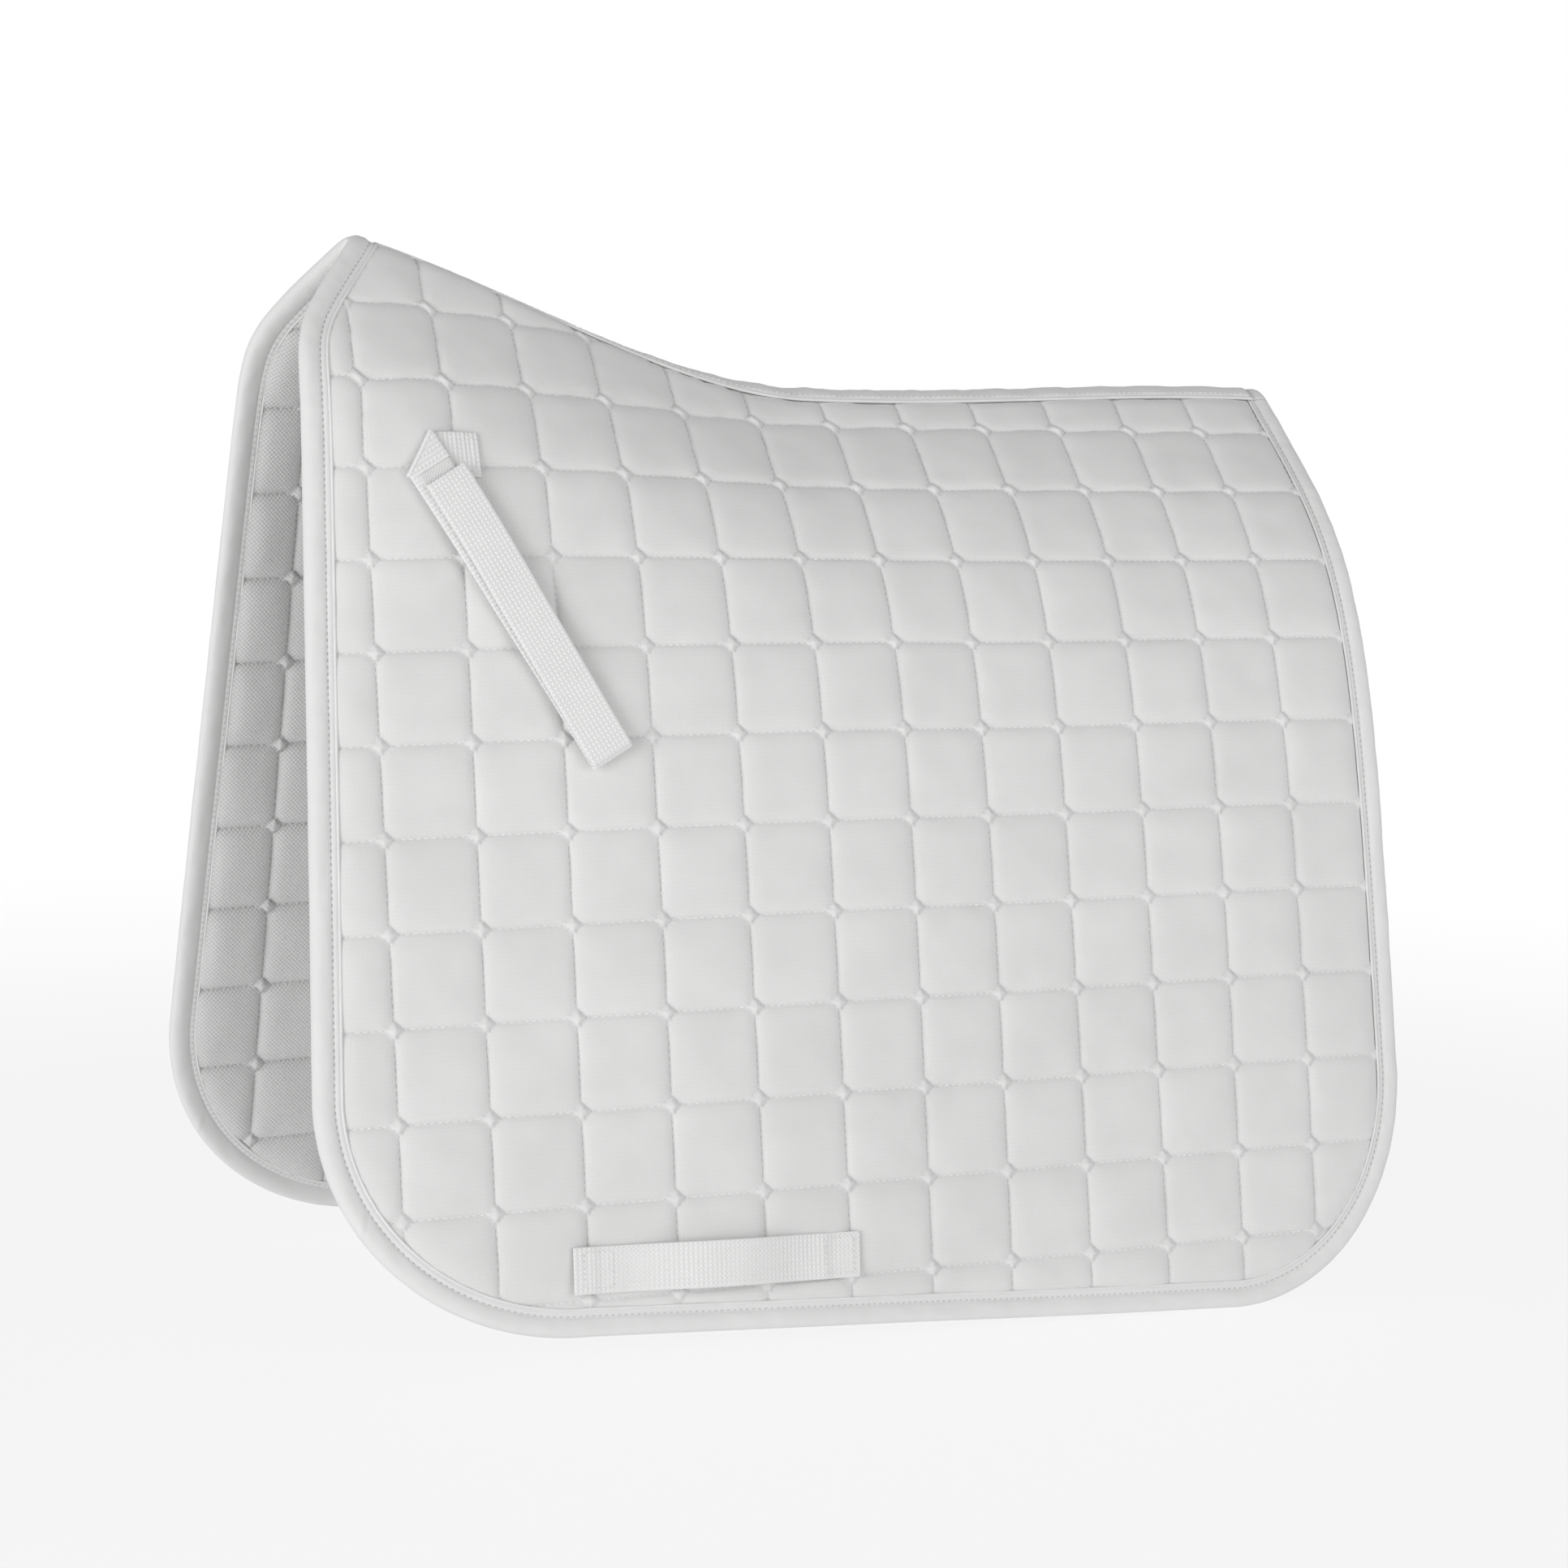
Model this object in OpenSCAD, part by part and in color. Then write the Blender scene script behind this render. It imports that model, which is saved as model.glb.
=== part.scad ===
// Quilted dressage saddle pad, hanging open over a horse's back.
// X runs from the withers (-) to the rear (+), the left side is -Y, Z is up.
// The origin is on the centre line, at the height of the spine seam where it is lowest.
//
// Each half is a flat pattern with two coordinates: u runs rearwards and v runs down, and both are
// measured on the cloth. pt() lays a place on that pattern, and an offset from it, into space.

/* [Quilted panels] */
// Pitch of the square quilting
quilt = 50; // [40:1:60]
// Whole quilt squares from front to rear
quilt_cols = 12; // [11:1:13]
// Depth of the cloth from the quilting's first row to the bottom edge, at the front
depth_front = 556; // [520:1:600]
// How much deeper the cloth is at the rear
depth_gain = 21; // [0:1:40]
// Thickness of the quilted panel between the crowns of its squares
panel_t = 12; // [9:0.5:16]
// Thickness of the shell and of the lining cloth
cloth_t = 1; // [0.6:0.1:1.5]
// Length and height of the rounded front bottom corner
corner_front = 130; // [80:5:160]
// Length of the rounded rear bottom corner
corner_rear = 105; // [80:5:160]
// Height of both bottom corners
corner_h = 120; // [80:5:140]

/* [Drape] */
// How far the spine rises at the withers
withers_rise = 80; // [40:1:110]
// Length over which it rises
withers_run = 345; // [250:5:400]
// How far the spine rises again at the rear
rear_rise = 12; // [0:1:25]
// Slope of the cloth beside the spine, from vertical, in the seat
seat_slope = 47; // [35:1:55]
// The same slope at the withers
withers_slope = 29.5; // [15:1:35]
// Slope of the hanging flap, from vertical
flap_slope = 9; // [4:1:15]

/* [Edges and spine] */
// Width of the binding outside the piping
binding_w = 13; // [10:0.5:18]
// Diameter of the piping cord
piping_d = 3; // [2:0.1:4]
// Width of the tape over the spine seam
tape_w = 22; // [16:1:30]
// Thickness of tape, binding and webbing
tape_t = 1.4; // [1:0.1:2]

/* [Straps] */
// Width of the strap and girth loop webbing
webbing_w = 25; // [20:1:30]
// Length of the hanging billet strap, folded
strap_l = 190.5; // [140:1:220]
// Length of the girth loop
loop_l = 164; // [120:1:200]
// How far the girth loop stands off the flap
loop_gap = 13; // [10:0.5:20]

/* [Hidden] */

half_len = quilt * quilt_cols / 2;
half_t = panel_t / 2;
pad_in = half_t - cloth_t;
tape_half = tape_w / 2;
// Clearance between two layers of one body, and between two bodies
snug = 0.1;
clear = 0.3;
// Thickness and width of a row of thread
thread_t = 0.5;
thread_w = 0.9;

// The two bodies of a half meet in a soft fold along this row, with this much left open
fold_v = 70;
fold_gap = 14;

// Places on the flat pattern: the strap's oblique fold, and the girth loop's front end
strap_fold = [28.6, 94.9];
strap_end = [123.2, 260.4];
anchor_end_u = 62;
loop_start = [89.5, 533.5];
// How much the girth loop's run drops towards the rear, per millimetre
loop_drop = 0.0285;

white = [0.9, 0.9, 0.89];
cream = [0.86, 0.86, 0.84];
bright = [0.96, 0.96, 0.95];

// ---- Drape -------------------------------------------------------------------------------------

// Distance over which the narrow shape at the withers gives way to the wide seat
withers_fade = 440;
// Station at which the spine starts to rise towards the withers
rise_start_x = -8;
// Pattern row of the spine seam where the spine is level, and its rows per millimetre of rise
seam_level_v = 28.8;
seam_row_rate = 0.865;
// Row at which the cloth turns from the horse's back down its side, in the seat and at the withers
seat_bend_v = 161;
withers_bend_v = 24;
// How much more the flap slopes below the withers
withers_flap_extra = 3.2;
// Longest step in walking down the cloth
walk_step = 12;

function smooth(t) = let (c = max(0, min(1, t))) c * c * (3 - 2 * c);
function mix(a, b, w) = a + (b - a) * w;
// 1 in front of the withers, 0 from the middle of the pad rearwards
function withers(x) = smooth(-x / withers_fade);
function seam_z(x) =
    withers_rise * smooth((rise_start_x - x) / withers_run) + rear_rise * smooth(x / half_len);
// The spine seam cuts through the level quilting rows where it rises
function seam_v(x) = seam_level_v - seam_row_rate * seam_z(x);

// Slope of the cloth from vertical at station x and pattern row v
function slope(x, v) =
    let (w = withers(x),
         top = mix(seat_slope, withers_slope, w),
         low = mix(flap_slope, flap_slope + withers_flap_extra, w),
         bend = mix(seat_bend_v, withers_bend_v, w))
    low + (top - low) / (1 + pow(max(v, 0) / bend, 4));

// Walks down the section at station x from the spine seam to row v: [y, z, slope]
function walk(x, v) =
    let (v0 = seam_v(x),
         n = max(1, ceil(abs(v - v0) / walk_step)),
         dv = (v - v0) / n,
         all = [for (i = 0, y = -tape_half, z = seam_z(x); i <= n;
                     y = y - sin(slope(x, v0 + (i + 0.5) * dv)) * dv,
                     z = z - cos(slope(x, v0 + (i + 0.5) * dv)) * dv,
                     i = i + 1) [y, z]])
    [all[n][0], all[n][1], slope(x, v)];

// The place of pattern point (u, v) on the left half, lifted off the cloth's middle by lift
function pt(u, v, lift = 0) =
    let (x = u - half_len, p = walk(x, v))
    [x, p[0] - cos(p[2]) * lift, p[1] + sin(p[2]) * lift];

// ---- Outline of a half on the flat pattern, along the piping ------------------------------------

// The front edge: where it stands at quilting row 1, how far it leans forward for each row
// below that, and how far and from which row up it curves back to the withers
front_edge_u = -18;
front_lean = 0.034;
front_back = 0.65;
front_back_v = 22;
front_round = 8;
rear_u = 2 * half_len + 2;

function bottom_v(u) = depth_front + depth_gain * u / (2 * half_len);
function soften(t) = front_round * ln(1 + exp(t / front_round));
function front_u(v) = front_edge_u - front_lean * (v - quilt) + front_back * soften(front_back_v - v);

// Where the front edge meets the spine seam
function front_meet(u, n) = n == 0 ? u : front_meet(front_u(seam_v(u - half_len)), n - 1);
seam_front_u = front_meet(20, 8);

// Row v at which the front edge leaves off into its corner, and the same at the rear
front_corner_v = bottom_v(0) - corner_h;
rear_corner_v = bottom_v(2 * half_len) - corner_h;
front_flat_u = front_u(front_corner_v);

upper_v = fold_v - fold_gap / 2;
flap_v = fold_v + fold_gap / 2;
columns = 14;

// Rows of the flap: even rows down to the corners, then rows that follow the corners' curve
flap_rows = concat([for (i = [0:12]) [i / 12, 0]], [for (k = [1:6]) [1, 15 * k]]);
flap_grid = [for (r = flap_rows)
    let (a = r[1],
         v_front = mix(flap_v, front_corner_v, r[0]) + corner_h * sin(a),
         v_rear = mix(flap_v, rear_corner_v, r[0]) + corner_h * sin(a),
         u_front = a == 0 ? front_u(v_front) : front_flat_u + corner_front * (1 - cos(a)),
         u_rear = rear_u - corner_rear * (1 - cos(a)))
    [for (j = [0:columns]) [mix(u_front, u_rear, j / columns), mix(v_front, v_rear, j / columns)]]];

// Rows above the fold, from the spine seam down
seam_front_v = seam_v(seam_front_u - half_len);
upper_grid = [for (i = [0:4])
    let (u_front = front_u(mix(seam_front_v, upper_v, i / 4)))
    [for (j = [0:columns]) let (u = mix(u_front, rear_u, j / columns))
        [u, mix(seam_v(u - half_len), upper_v, i / 4)]]];

// The outline as paths of [u, v]: down the front, along the bottom and up the rear
function front_side(grid) = [for (r = grid) r[0]];
function rear_side(grid) = [for (i = [len(grid) - 1:-1:0]) grid[i][columns]];
flap_bottom = [for (j = [1:columns - 1]) flap_grid[len(flap_grid) - 1][j]];
flap_path = concat(front_side(flap_grid), flap_bottom, rear_side(flap_grid));
upper_paths = [front_side(upper_grid), rear_side(upper_grid)];

// ---- Solids on the pattern ----------------------------------------------------------------------

// A closed slab through a grid of pattern points, grid[row][column] = [u, v], between two lifts
module slab(grid, low, high) {
    rows = len(grid);
    cols = len(grid[0]);
    count = rows * cols;
    points = concat([for (r = grid, q = r) pt(q[0], q[1], low)],
                    [for (r = grid, q = r) pt(q[0], q[1], high)]);
    edge = concat([for (j = [0:cols - 1]) j],
                  [for (i = [1:rows - 1]) i * cols + cols - 1],
                  [for (j = [cols - 2:-1:0]) (rows - 1) * cols + j],
                  [for (i = [rows - 2:-1:1]) i * cols]);
    n = len(edge);
    faces = concat(
        [for (i = [0:rows - 2], j = [0:cols - 2]) let (a = i * cols + j)
            each [[a, a + cols, a + 1], [a + 1, a + cols, a + cols + 1]]],
        [for (i = [0:rows - 2], j = [0:cols - 2]) let (a = count + i * cols + j)
            each [[a, a + 1, a + cols], [a + 1, a + cols + 1, a + cols]]],
        [for (k = [0:n - 1]) let (a = edge[k], b = edge[(k + 1) % n])
            each [[a, b, b + count], [a, b + count, a + count]]]);
    polyhedron(points, faces, convexity = 6);
}

// A closed solid through rings of points, with its two ends capped
module skin(rings) {
    sides = len(rings[0]);
    n = len(rings);
    faces = concat(
        [[for (k = [0:sides - 1]) k]],
        [for (i = [0:n - 2], k = [0:sides - 1])
            let (a = i * sides + k, b = i * sides + (k + 1) % sides)
            each [[a, a + sides, b], [b, a + sides, b + sides]]],
        [[for (k = [sides - 1:-1:0]) (n - 1) * sides + k]]);
    polyhedron([for (r = rings, p = r) p], faces, convexity = 6);
}

// Outward direction of a path of [u, v] points, on its right as it runs
function outward(path, i) =
    let (a = path[max(0, i - 1)], b = path[min(len(path) - 1, i + 1)], d = b - a)
    [-d[1], d[0]] / norm(d) * -1;

// Sweeps a profile of [outward, lift] points along a path on the pattern
module edge_sweep(path, profile) {
    skin([for (i = [0:len(path) - 1]) let (m = outward(path, i))
        [for (q = profile) pt(path[i][0] - m[0] * q[0], path[i][1] - m[1] * q[0], q[1])]]);
}

// A flat strip of webbing between two pattern points; its two lifts follow bow(0..1)
module strip(from, to, width, low, high, steps = 6, bow = 0) {
    d = (to - from) / norm(to - from);
    side = [d[1], -d[0]] * width / 2;
    skin([for (i = [0:steps])
        let (t = i / steps, q = mix(from, to, t), rise = bow * arch(t))
        [pt(q[0] - side[0], q[1] - side[1], low + rise),
         pt(q[0] + side[0], q[1] + side[1], low + rise),
         pt(q[0] + side[0], q[1] + side[1], high + rise),
         pt(q[0] - side[0], q[1] - side[1], high + rise)]]);
}

// The sewn share of the girth loop at each end, and the share over which it then lifts off:
// arch is 0 on the sewn ends and 1 over the free middle
loop_sewn = 0.16;
loop_lift = 0.22;
function arch(t) = smooth((t - loop_sewn) / loop_lift) * smooth((1 - loop_sewn - t) / loop_lift);

module on_side(side) {
    if (side == "left") children();
    else mirror([0, 1, 0]) children();
}

// ---- Panels -------------------------------------------------------------------------------------

module shell(grid) { color(white) slab(grid, pad_in + snug, half_t); }
module wadding(grid) { color(cream) slab(grid, -pad_in, pad_in); }
module lining(grid) { color(white) slab(grid, -half_t, -pad_in - snug); }

// ---- Binding and piping -------------------------------------------------------------------------

// The folded binding over the panel's sewn-down edge, and the cord beside it
binding_in = 2 * snug;
binding_bend = binding_w * 0.7;
binding_lip = 2.5;
edge_profile = [[binding_in, -half_t], [binding_bend, -half_t], [binding_w, -binding_lip],
                [binding_w, binding_lip], [binding_bend, half_t], [binding_in, half_t]];
function cord_profile(lift) = [for (k = [0:5]) [cos(60 * k), sin(60 * k)] * piping_d / 2 + [0, lift]];
cord_lift = half_t + clear + piping_d / 2;

module binding(paths) { color(white) for (p = paths) edge_sweep(p, edge_profile); }
module piping(paths, lift) { color(bright) for (p = paths) edge_sweep(p, cord_profile(lift)); }

// ---- Spine --------------------------------------------------------------------------------------

spine_front_x = seam_front_u - half_len + 1;
spine_rear_x = rear_u - half_len + binding_w - 1;
// The cord beside the tape stops short of the cords round the two halves
cord_front_gap = 10;
cord_rear_gap = binding_w + 5;
highest_crown = 9;
spine_stations = [for (i = [0:16]) mix(spine_front_x, spine_rear_x, i / 16)];
cord_stations = [for (i = [0:16])
    mix(spine_front_x + cord_front_gap, spine_rear_x - cord_rear_gap, i / 16)];

// The spine's arch from seam (q = -1) to seam (q = 1), lifted off its middle
function spine_pt(x, q, lift) =
    let (crown = min(tape_half / tan(slope(x, 0)) / 2, highest_crown),
         s = -2 * crown * q / tape_half,
         len = sqrt(1 + s * s))
    [x, q * tape_half - lift * s / len, seam_z(x) + crown * (1 - q * q) + lift / len];

module spine_strip(from_q, to_q, low, high, steps = 6) {
    skin([for (x = spine_stations)
        concat([for (k = [0:steps]) spine_pt(x, mix(from_q, to_q, k / steps), high)],
               [for (k = [steps:-1:0]) spine_pt(x, mix(from_q, to_q, k / steps), low)])]);
}

// Half the thickness of the seam's core, and the tape's share of the width from seam to seam
core_half = 3.5;
edge_q = 1 - 2 * clear / tape_half;

module spine_core() { color(cream) spine_strip(-edge_q, edge_q, -core_half, core_half); }
module spine_tape() {
    color(white) spine_strip(-edge_q, edge_q, core_half + clear, core_half + clear + tape_t);
}
module spine_lining_tape() {
    color(white) spine_strip(-edge_q, edge_q, -core_half - clear - tape_t, -core_half - clear);
}
// The sewn line beside the tape, raised as a thin cord
module spine_piping(q) {
    radius = 1;
    lift = half_t + 2 * clear + radius;
    color(bright) skin([for (x = cord_stations) let (c = spine_pt(x, q, lift))
        [for (k = [0:5]) c + radius * [0, cos(60 * k), sin(60 * k)]]]);
}
// Two rows of thread on the tape
module spine_stitching() {
    low = core_half + tape_t + 2 * clear;
    high = low + thread_t;
    color(bright) for (q = [-0.62, 0.62])
        spine_strip(q - 0.03, q + 0.03, low, high, 1);
}

// ---- Straps and loops ---------------------------------------------------------------------------

// Lifts of the layers, from the flap's shell outwards; the strap lies loosely over its anchor
patch_t = 0.9;
anchor_low = half_t + snug;
anchor_high = anchor_low + tape_t;
strap_low = anchor_high + 3 * clear;
strap_high = strap_low + tape_t;
hook_low = strap_high + snug;
hook_high = hook_low + patch_t;
loop_low = hook_high + clear;
loop_high = loop_low + patch_t;
tail_low = loop_high + 3 * snug;
tail_high = tail_low + tape_t;

strap_dir = (strap_end - strap_fold) / norm(strap_end - strap_fold);
function along(s) = strap_fold + strap_dir * s;
// The oblique fold line halves the turn between the level anchor and the hanging strap
fold_dir = let (d = strap_dir + [-1, 0]) d / norm(d);
fold_run = webbing_w / 2 / sin(acos(-fold_dir[0]));

// A thin row of thread between two pattern points, lying on the webbing
module thread_row(from, to, lift) { strip(from, to, thread_w, lift, lift + thread_t, steps = 2); }
// Four rows that meet at the corners a and b without crossing
module thread_box(a, b, lift) {
    h = thread_w / 2 + snug / 2;
    thread_row(a, [b[0] - h, a[1]], lift);
    thread_row([b[0], a[1] - h], [b[0], b[1] - h], lift);
    thread_row([b[0] + h, b[1]], [a[0] + h, b[1]], lift);
    thread_row([a[0], b[1] + h], [a[0], a[1] + h], lift);
}

// The level end of the webbing, sewn to the flap, cut off along the strap's fold
module strap_anchor() {
    top = strap_fold - fold_dir * fold_run;
    low = strap_fold + fold_dir * fold_run;
    color(bright) slab([[top, [mix(top[0], anchor_end_u, 0.5), top[1]], [anchor_end_u, top[1]]],
                        [low, [mix(low[0], anchor_end_u, 0.5), low[1]], [anchor_end_u, low[1]]]],
                       anchor_low, anchor_high);
}
module anchor_stitching() {
    half_h = webbing_w / 2 - 3.5;
    color(white) thread_box([anchor_end_u - 10, strap_fold[1] - half_h],
                            [anchor_end_u - 3, strap_fold[1] + half_h], anchor_high + snug / 2);
}

// One layer of the hanging strap, from near its fold to its lower turn
module strap_layer(from_s, to_s, width, low, high, steps) {
    color(bright) strip(along(from_s), along(to_s), width, low, high, steps);
}
// Where the tail's free end and the two patches lie along the strap
tail_start = 16;
patch_w = webbing_w - 5;
hook_run = [10, 96];
loop_run = [22, 90];

module strap() {
    d = [strap_dir[1], -strap_dir[0]] * webbing_w / 2;
    // The upper edge of the strap is its fold line
    reach = fold_dir * fold_run;
    rows = [for (i = [0:15]) let (s = strap_l * i / 15)
        i == 0 ? [strap_fold + reach, strap_fold - reach] : [along(s) - d, along(s) + d]];
    color(bright) slab(rows, strap_low, strap_high);
}
module hook_patch() { strap_layer(hook_run[0], hook_run[1], patch_w, hook_low, hook_high, 7); }
module strap_tail() { strap_layer(tail_start, strap_l, webbing_w, tail_low, tail_high, 14); }
module loop_patch() { strap_layer(loop_run[0], loop_run[1], patch_w, loop_low, loop_high, 6); }

loop_end = loop_start + [loop_l, loop_l * loop_drop];
// Share of the loop's length between its ends and their boxes of stitching
stitch_inset = 0.02;
module girth_loop() {
    color(bright) strip(loop_start, loop_end, webbing_w, anchor_low, anchor_high, steps = 24,
                        bow = loop_gap);
}
module girth_loop_stitching() {
    h = webbing_w / 2 - 3;
    color(white) for (end = [stitch_inset, 1 - loop_sewn + stitch_inset]) {
        a = mix(loop_start, loop_end, end);
        b = mix(loop_start, loop_end, end + loop_sewn - 2 * stitch_inset);
        thread_box([a[0], a[1] - h], [b[0], b[1] + h], anchor_high + snug / 2);
    }
}

// ---- Assembly -----------------------------------------------------------------------------------

spine_core();
spine_tape();
spine_lining_tape();
spine_piping(-1);  // left_spine_piping
spine_piping(1);  // right_spine_piping
spine_stitching();
for (s = ["left", "right"]) on_side(s) {
    shell(upper_grid);
    wadding(upper_grid);
    lining(upper_grid);
    binding(upper_paths);
    piping(upper_paths, cord_lift);
    piping(upper_paths, -cord_lift);
    shell(flap_grid);
    wadding(flap_grid);
    lining(flap_grid);
    binding([flap_path]);
    piping([flap_path], cord_lift);
    piping([flap_path], -cord_lift);
    girth_loop();
    girth_loop_stitching();
    strap_anchor();
    anchor_stitching();
    strap();
    hook_patch();
    strap_tail();
    loop_patch();
}
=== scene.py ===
import math

import bpy
import numpy as np
from mathutils import Matrix, Vector
from mathutils.kdtree import KDTree


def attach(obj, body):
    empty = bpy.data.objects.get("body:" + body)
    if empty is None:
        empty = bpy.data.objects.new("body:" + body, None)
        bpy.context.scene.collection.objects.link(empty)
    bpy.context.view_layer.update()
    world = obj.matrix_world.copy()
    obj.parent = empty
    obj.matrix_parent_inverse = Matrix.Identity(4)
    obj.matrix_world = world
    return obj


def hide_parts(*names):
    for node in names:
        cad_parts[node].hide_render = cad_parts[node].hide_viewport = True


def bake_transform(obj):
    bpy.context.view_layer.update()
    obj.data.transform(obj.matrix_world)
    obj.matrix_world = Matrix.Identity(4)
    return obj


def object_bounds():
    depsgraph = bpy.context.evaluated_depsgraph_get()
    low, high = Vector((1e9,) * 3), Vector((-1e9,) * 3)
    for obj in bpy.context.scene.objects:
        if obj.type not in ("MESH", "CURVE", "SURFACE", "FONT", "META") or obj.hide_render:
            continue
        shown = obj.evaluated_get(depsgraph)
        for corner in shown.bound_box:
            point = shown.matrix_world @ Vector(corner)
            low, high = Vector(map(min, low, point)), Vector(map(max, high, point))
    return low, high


# A quilted dressage saddle pad. Lengths are millimetres on the flat pattern, and lay() gives metres.
# On the pattern u runs rearwards and v runs down the cloth; lift is the offset from the cloth's
# middle, positive on the outside. The left half is -Y, and the right half is its mirror image.

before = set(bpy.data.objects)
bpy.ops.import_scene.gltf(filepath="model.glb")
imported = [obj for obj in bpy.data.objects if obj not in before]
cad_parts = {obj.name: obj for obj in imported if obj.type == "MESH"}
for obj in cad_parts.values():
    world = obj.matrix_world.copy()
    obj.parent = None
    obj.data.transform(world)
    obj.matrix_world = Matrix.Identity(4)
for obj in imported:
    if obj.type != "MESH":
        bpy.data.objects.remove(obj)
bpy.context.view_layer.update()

MM = 0.001
SIDES = ("left", "right")
MIRROR = {"left": 1.0, "right": -1.0}

# ---- Sizes shared with the CAD model ----

QUILT = 50.0
HALF_LEN = 300.0
TAPE_HALF = 11.0
WEBBING_W = 25.0
WEBBING_T = 1.4
REAR_U = 602.0
BOTTOM_FRONT_V = 556.0
BOTTOM_REAR_V = 577.0
CORNER_FRONT = 130.0
CORNER_REAR = 105.0
CORNER_H = 120.0
FLAP_V = 77.0
CROWN_LIMIT = 9.0

STRAP_FOLD = np.array([28.6, 94.9])
STRAP_END = np.array([123.2, 260.4])
STRAP_L = 190.5
ANCHOR_END_U = 62.0
LOOP_START = np.array([89.5, 533.5])
LOOP_END = np.array([253.5, 538.2])

# Lifts of the layers, from the flap's cloth outwards
ANCHOR_LIFT = 6.8
STRAP_LIFT = 9.1
HOOK_LIFT = 10.1
LOOP_PATCH_LIFT = 10.8
TAIL_LIFT = 11.9

# Where each half's quilting lines fall on its pattern
QUILT_OFFSET = {"left": (0.0, 0.0), "right": (11.0, 15.0)}

# ---- Drape ----


def smooth(t):
    c = np.clip(t, 0.0, 1.0)
    return c * c * (3.0 - 2.0 * c)


def mix(a, b, w):
    return a + (b - a) * w


# How far the spine rises at the withers and at the rear, and where it starts to and over what length
WITHERS_RISE = 80.0
REAR_RISE = 12.0
RISE_START = -8.0
RISE_RUN = 345.0
# Pattern row of the level spine seam, and rows lost for each millimetre that it rises
SEAM_ROW = 28.8
SEAM_ROW_RATE = 0.865
# Distance over which the seat's shape gives way to the withers' narrower one
WITHERS_BLEND = 440.0
# In the seat and at the withers: degrees from vertical beside the spine and of the hanging flap,
# and the row at which the one turns into the other
BACK_SLOPE = (47.0, 29.5)
FLAP_SLOPE = (9.0, 12.2)
BEND_ROW = (161.0, 24.0)


def withers(x):
    """1 in front of the withers, 0 from the middle of the pad rearwards."""
    return smooth(-x / WITHERS_BLEND)


def seam_z(x):
    """Height of the spine seam at station x."""
    return WITHERS_RISE * smooth((RISE_START - x) / RISE_RUN) + REAR_RISE * smooth(x / HALF_LEN)


def seam_v(u):
    """Pattern row of the spine seam: it cuts through the level quilting rows where it rises."""
    return SEAM_ROW - SEAM_ROW_RATE * seam_z(u - HALF_LEN)


def slope(x, v):
    """Slope of the cloth from vertical, in radians."""
    w = withers(x)
    top, low, bend = (mix(*pair, w) for pair in (BACK_SLOPE, FLAP_SLOPE, BEND_ROW))
    return np.radians(low + (top - low) / (1.0 + (np.maximum(v, 0.0) / bend) ** 4))


def sway(u, v):
    """The slight unevenness of a hanging cloth, which dies out at the spine."""
    free = smooth((v - seam_v(u)) / 160.0)
    waves = 0.7 * np.sin(u / 47.0 + v / 140.0) + 0.5 * np.sin(u / 29.0 - v / 75.0 + 1.3)
    return free * waves


def crown(x):
    """Height of the spine's arch above its seams."""
    return np.minimum(TAPE_HALF / np.tan(slope(x, 0.0)) / 2, CROWN_LIMIT)


def spine_place(x, q, lift):
    """A place on the spine's arch in millimetres, where q is -1 at its left side and 1 at its right."""
    x, q, lift = np.broadcast_arrays(*(np.asarray(a, float) for a in (x, q, lift)))
    high = crown(x)
    s = -2 * high * q / TAPE_HALF
    length = np.sqrt(1 + s * s)
    y = q * TAPE_HALF - lift * s / length
    z = seam_z(x) + high * (1 - q * q) + lift / length
    return np.stack([x, y, z], -1)


def arch_rate(x, q):
    """Millimetres along the arch for each unit of q."""
    return np.hypot(TAPE_HALF, 2 * crown(x) * q)


def tape_share(x):
    """Half width of the spine's tape as a share of the arch: it narrows towards the withers."""
    return mix(0.12, 1.0, smooth((x + 250.0) / 240.0))


def measure_tape_rows():
    """Pattern row of the tape's edge at stations along the pad."""
    x = np.linspace(-340.0, 340.0, 341)
    share = tape_share(x)
    q = np.linspace(0.0, 1.0, 21)[:, None] * (1 - share) - 1
    rate = arch_rate(x[None, :], q)
    run = (rate[1:] + rate[:-1]).sum(0) / 2 * (1 - share) / 20
    return x + HALF_LEN, seam_v(x + HALF_LEN) - run


TAPE_U, TAPE_V = measure_tape_rows()


def tape_v(u):
    """Pattern row where the cloth passes under the edge of the spine's tape."""
    return np.interp(u, TAPE_U, TAPE_V)


WALK_STEPS = 48
ARCH_STEPS = 8


def lay(u, v, lift, side="left"):
    """Places in space, in metres, of pattern points lifted off the cloth. Rows above the
    spine's seam go on over its arch."""
    u, v, lift = np.broadcast_arrays(*(np.asarray(a, float) for a in (u, v, lift)))
    x = u - HALF_LEN
    v0 = seam_v(u)
    step = (np.maximum(v, v0) - v0) / WALK_STEPS
    y = np.full(u.shape, -TAPE_HALF)
    z = seam_z(x)
    for i in range(WALK_STEPS):
        a = slope(x, v0 + (i + 0.5) * step)
        y = y - np.sin(a) * step
        z = z - np.cos(a) * step
    a = slope(x, v)
    off = lift + sway(u, v)
    y = y - np.cos(a) * off
    z = z + np.sin(a) * off
    down = np.stack([x, y, z], axis=-1)
    q = np.full(u.shape, -1.0)
    over = np.maximum(v0 - v, 0.0) / ARCH_STEPS
    for _ in range(ARCH_STEPS):
        middle = q + over / arch_rate(x, q) / 2
        q = q + over / arch_rate(x, middle)
    points = np.where((v < v0)[..., None], spine_place(x, q, lift), down)
    return points * np.array([1.0, MIRROR[side], 1.0]) * MM


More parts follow.
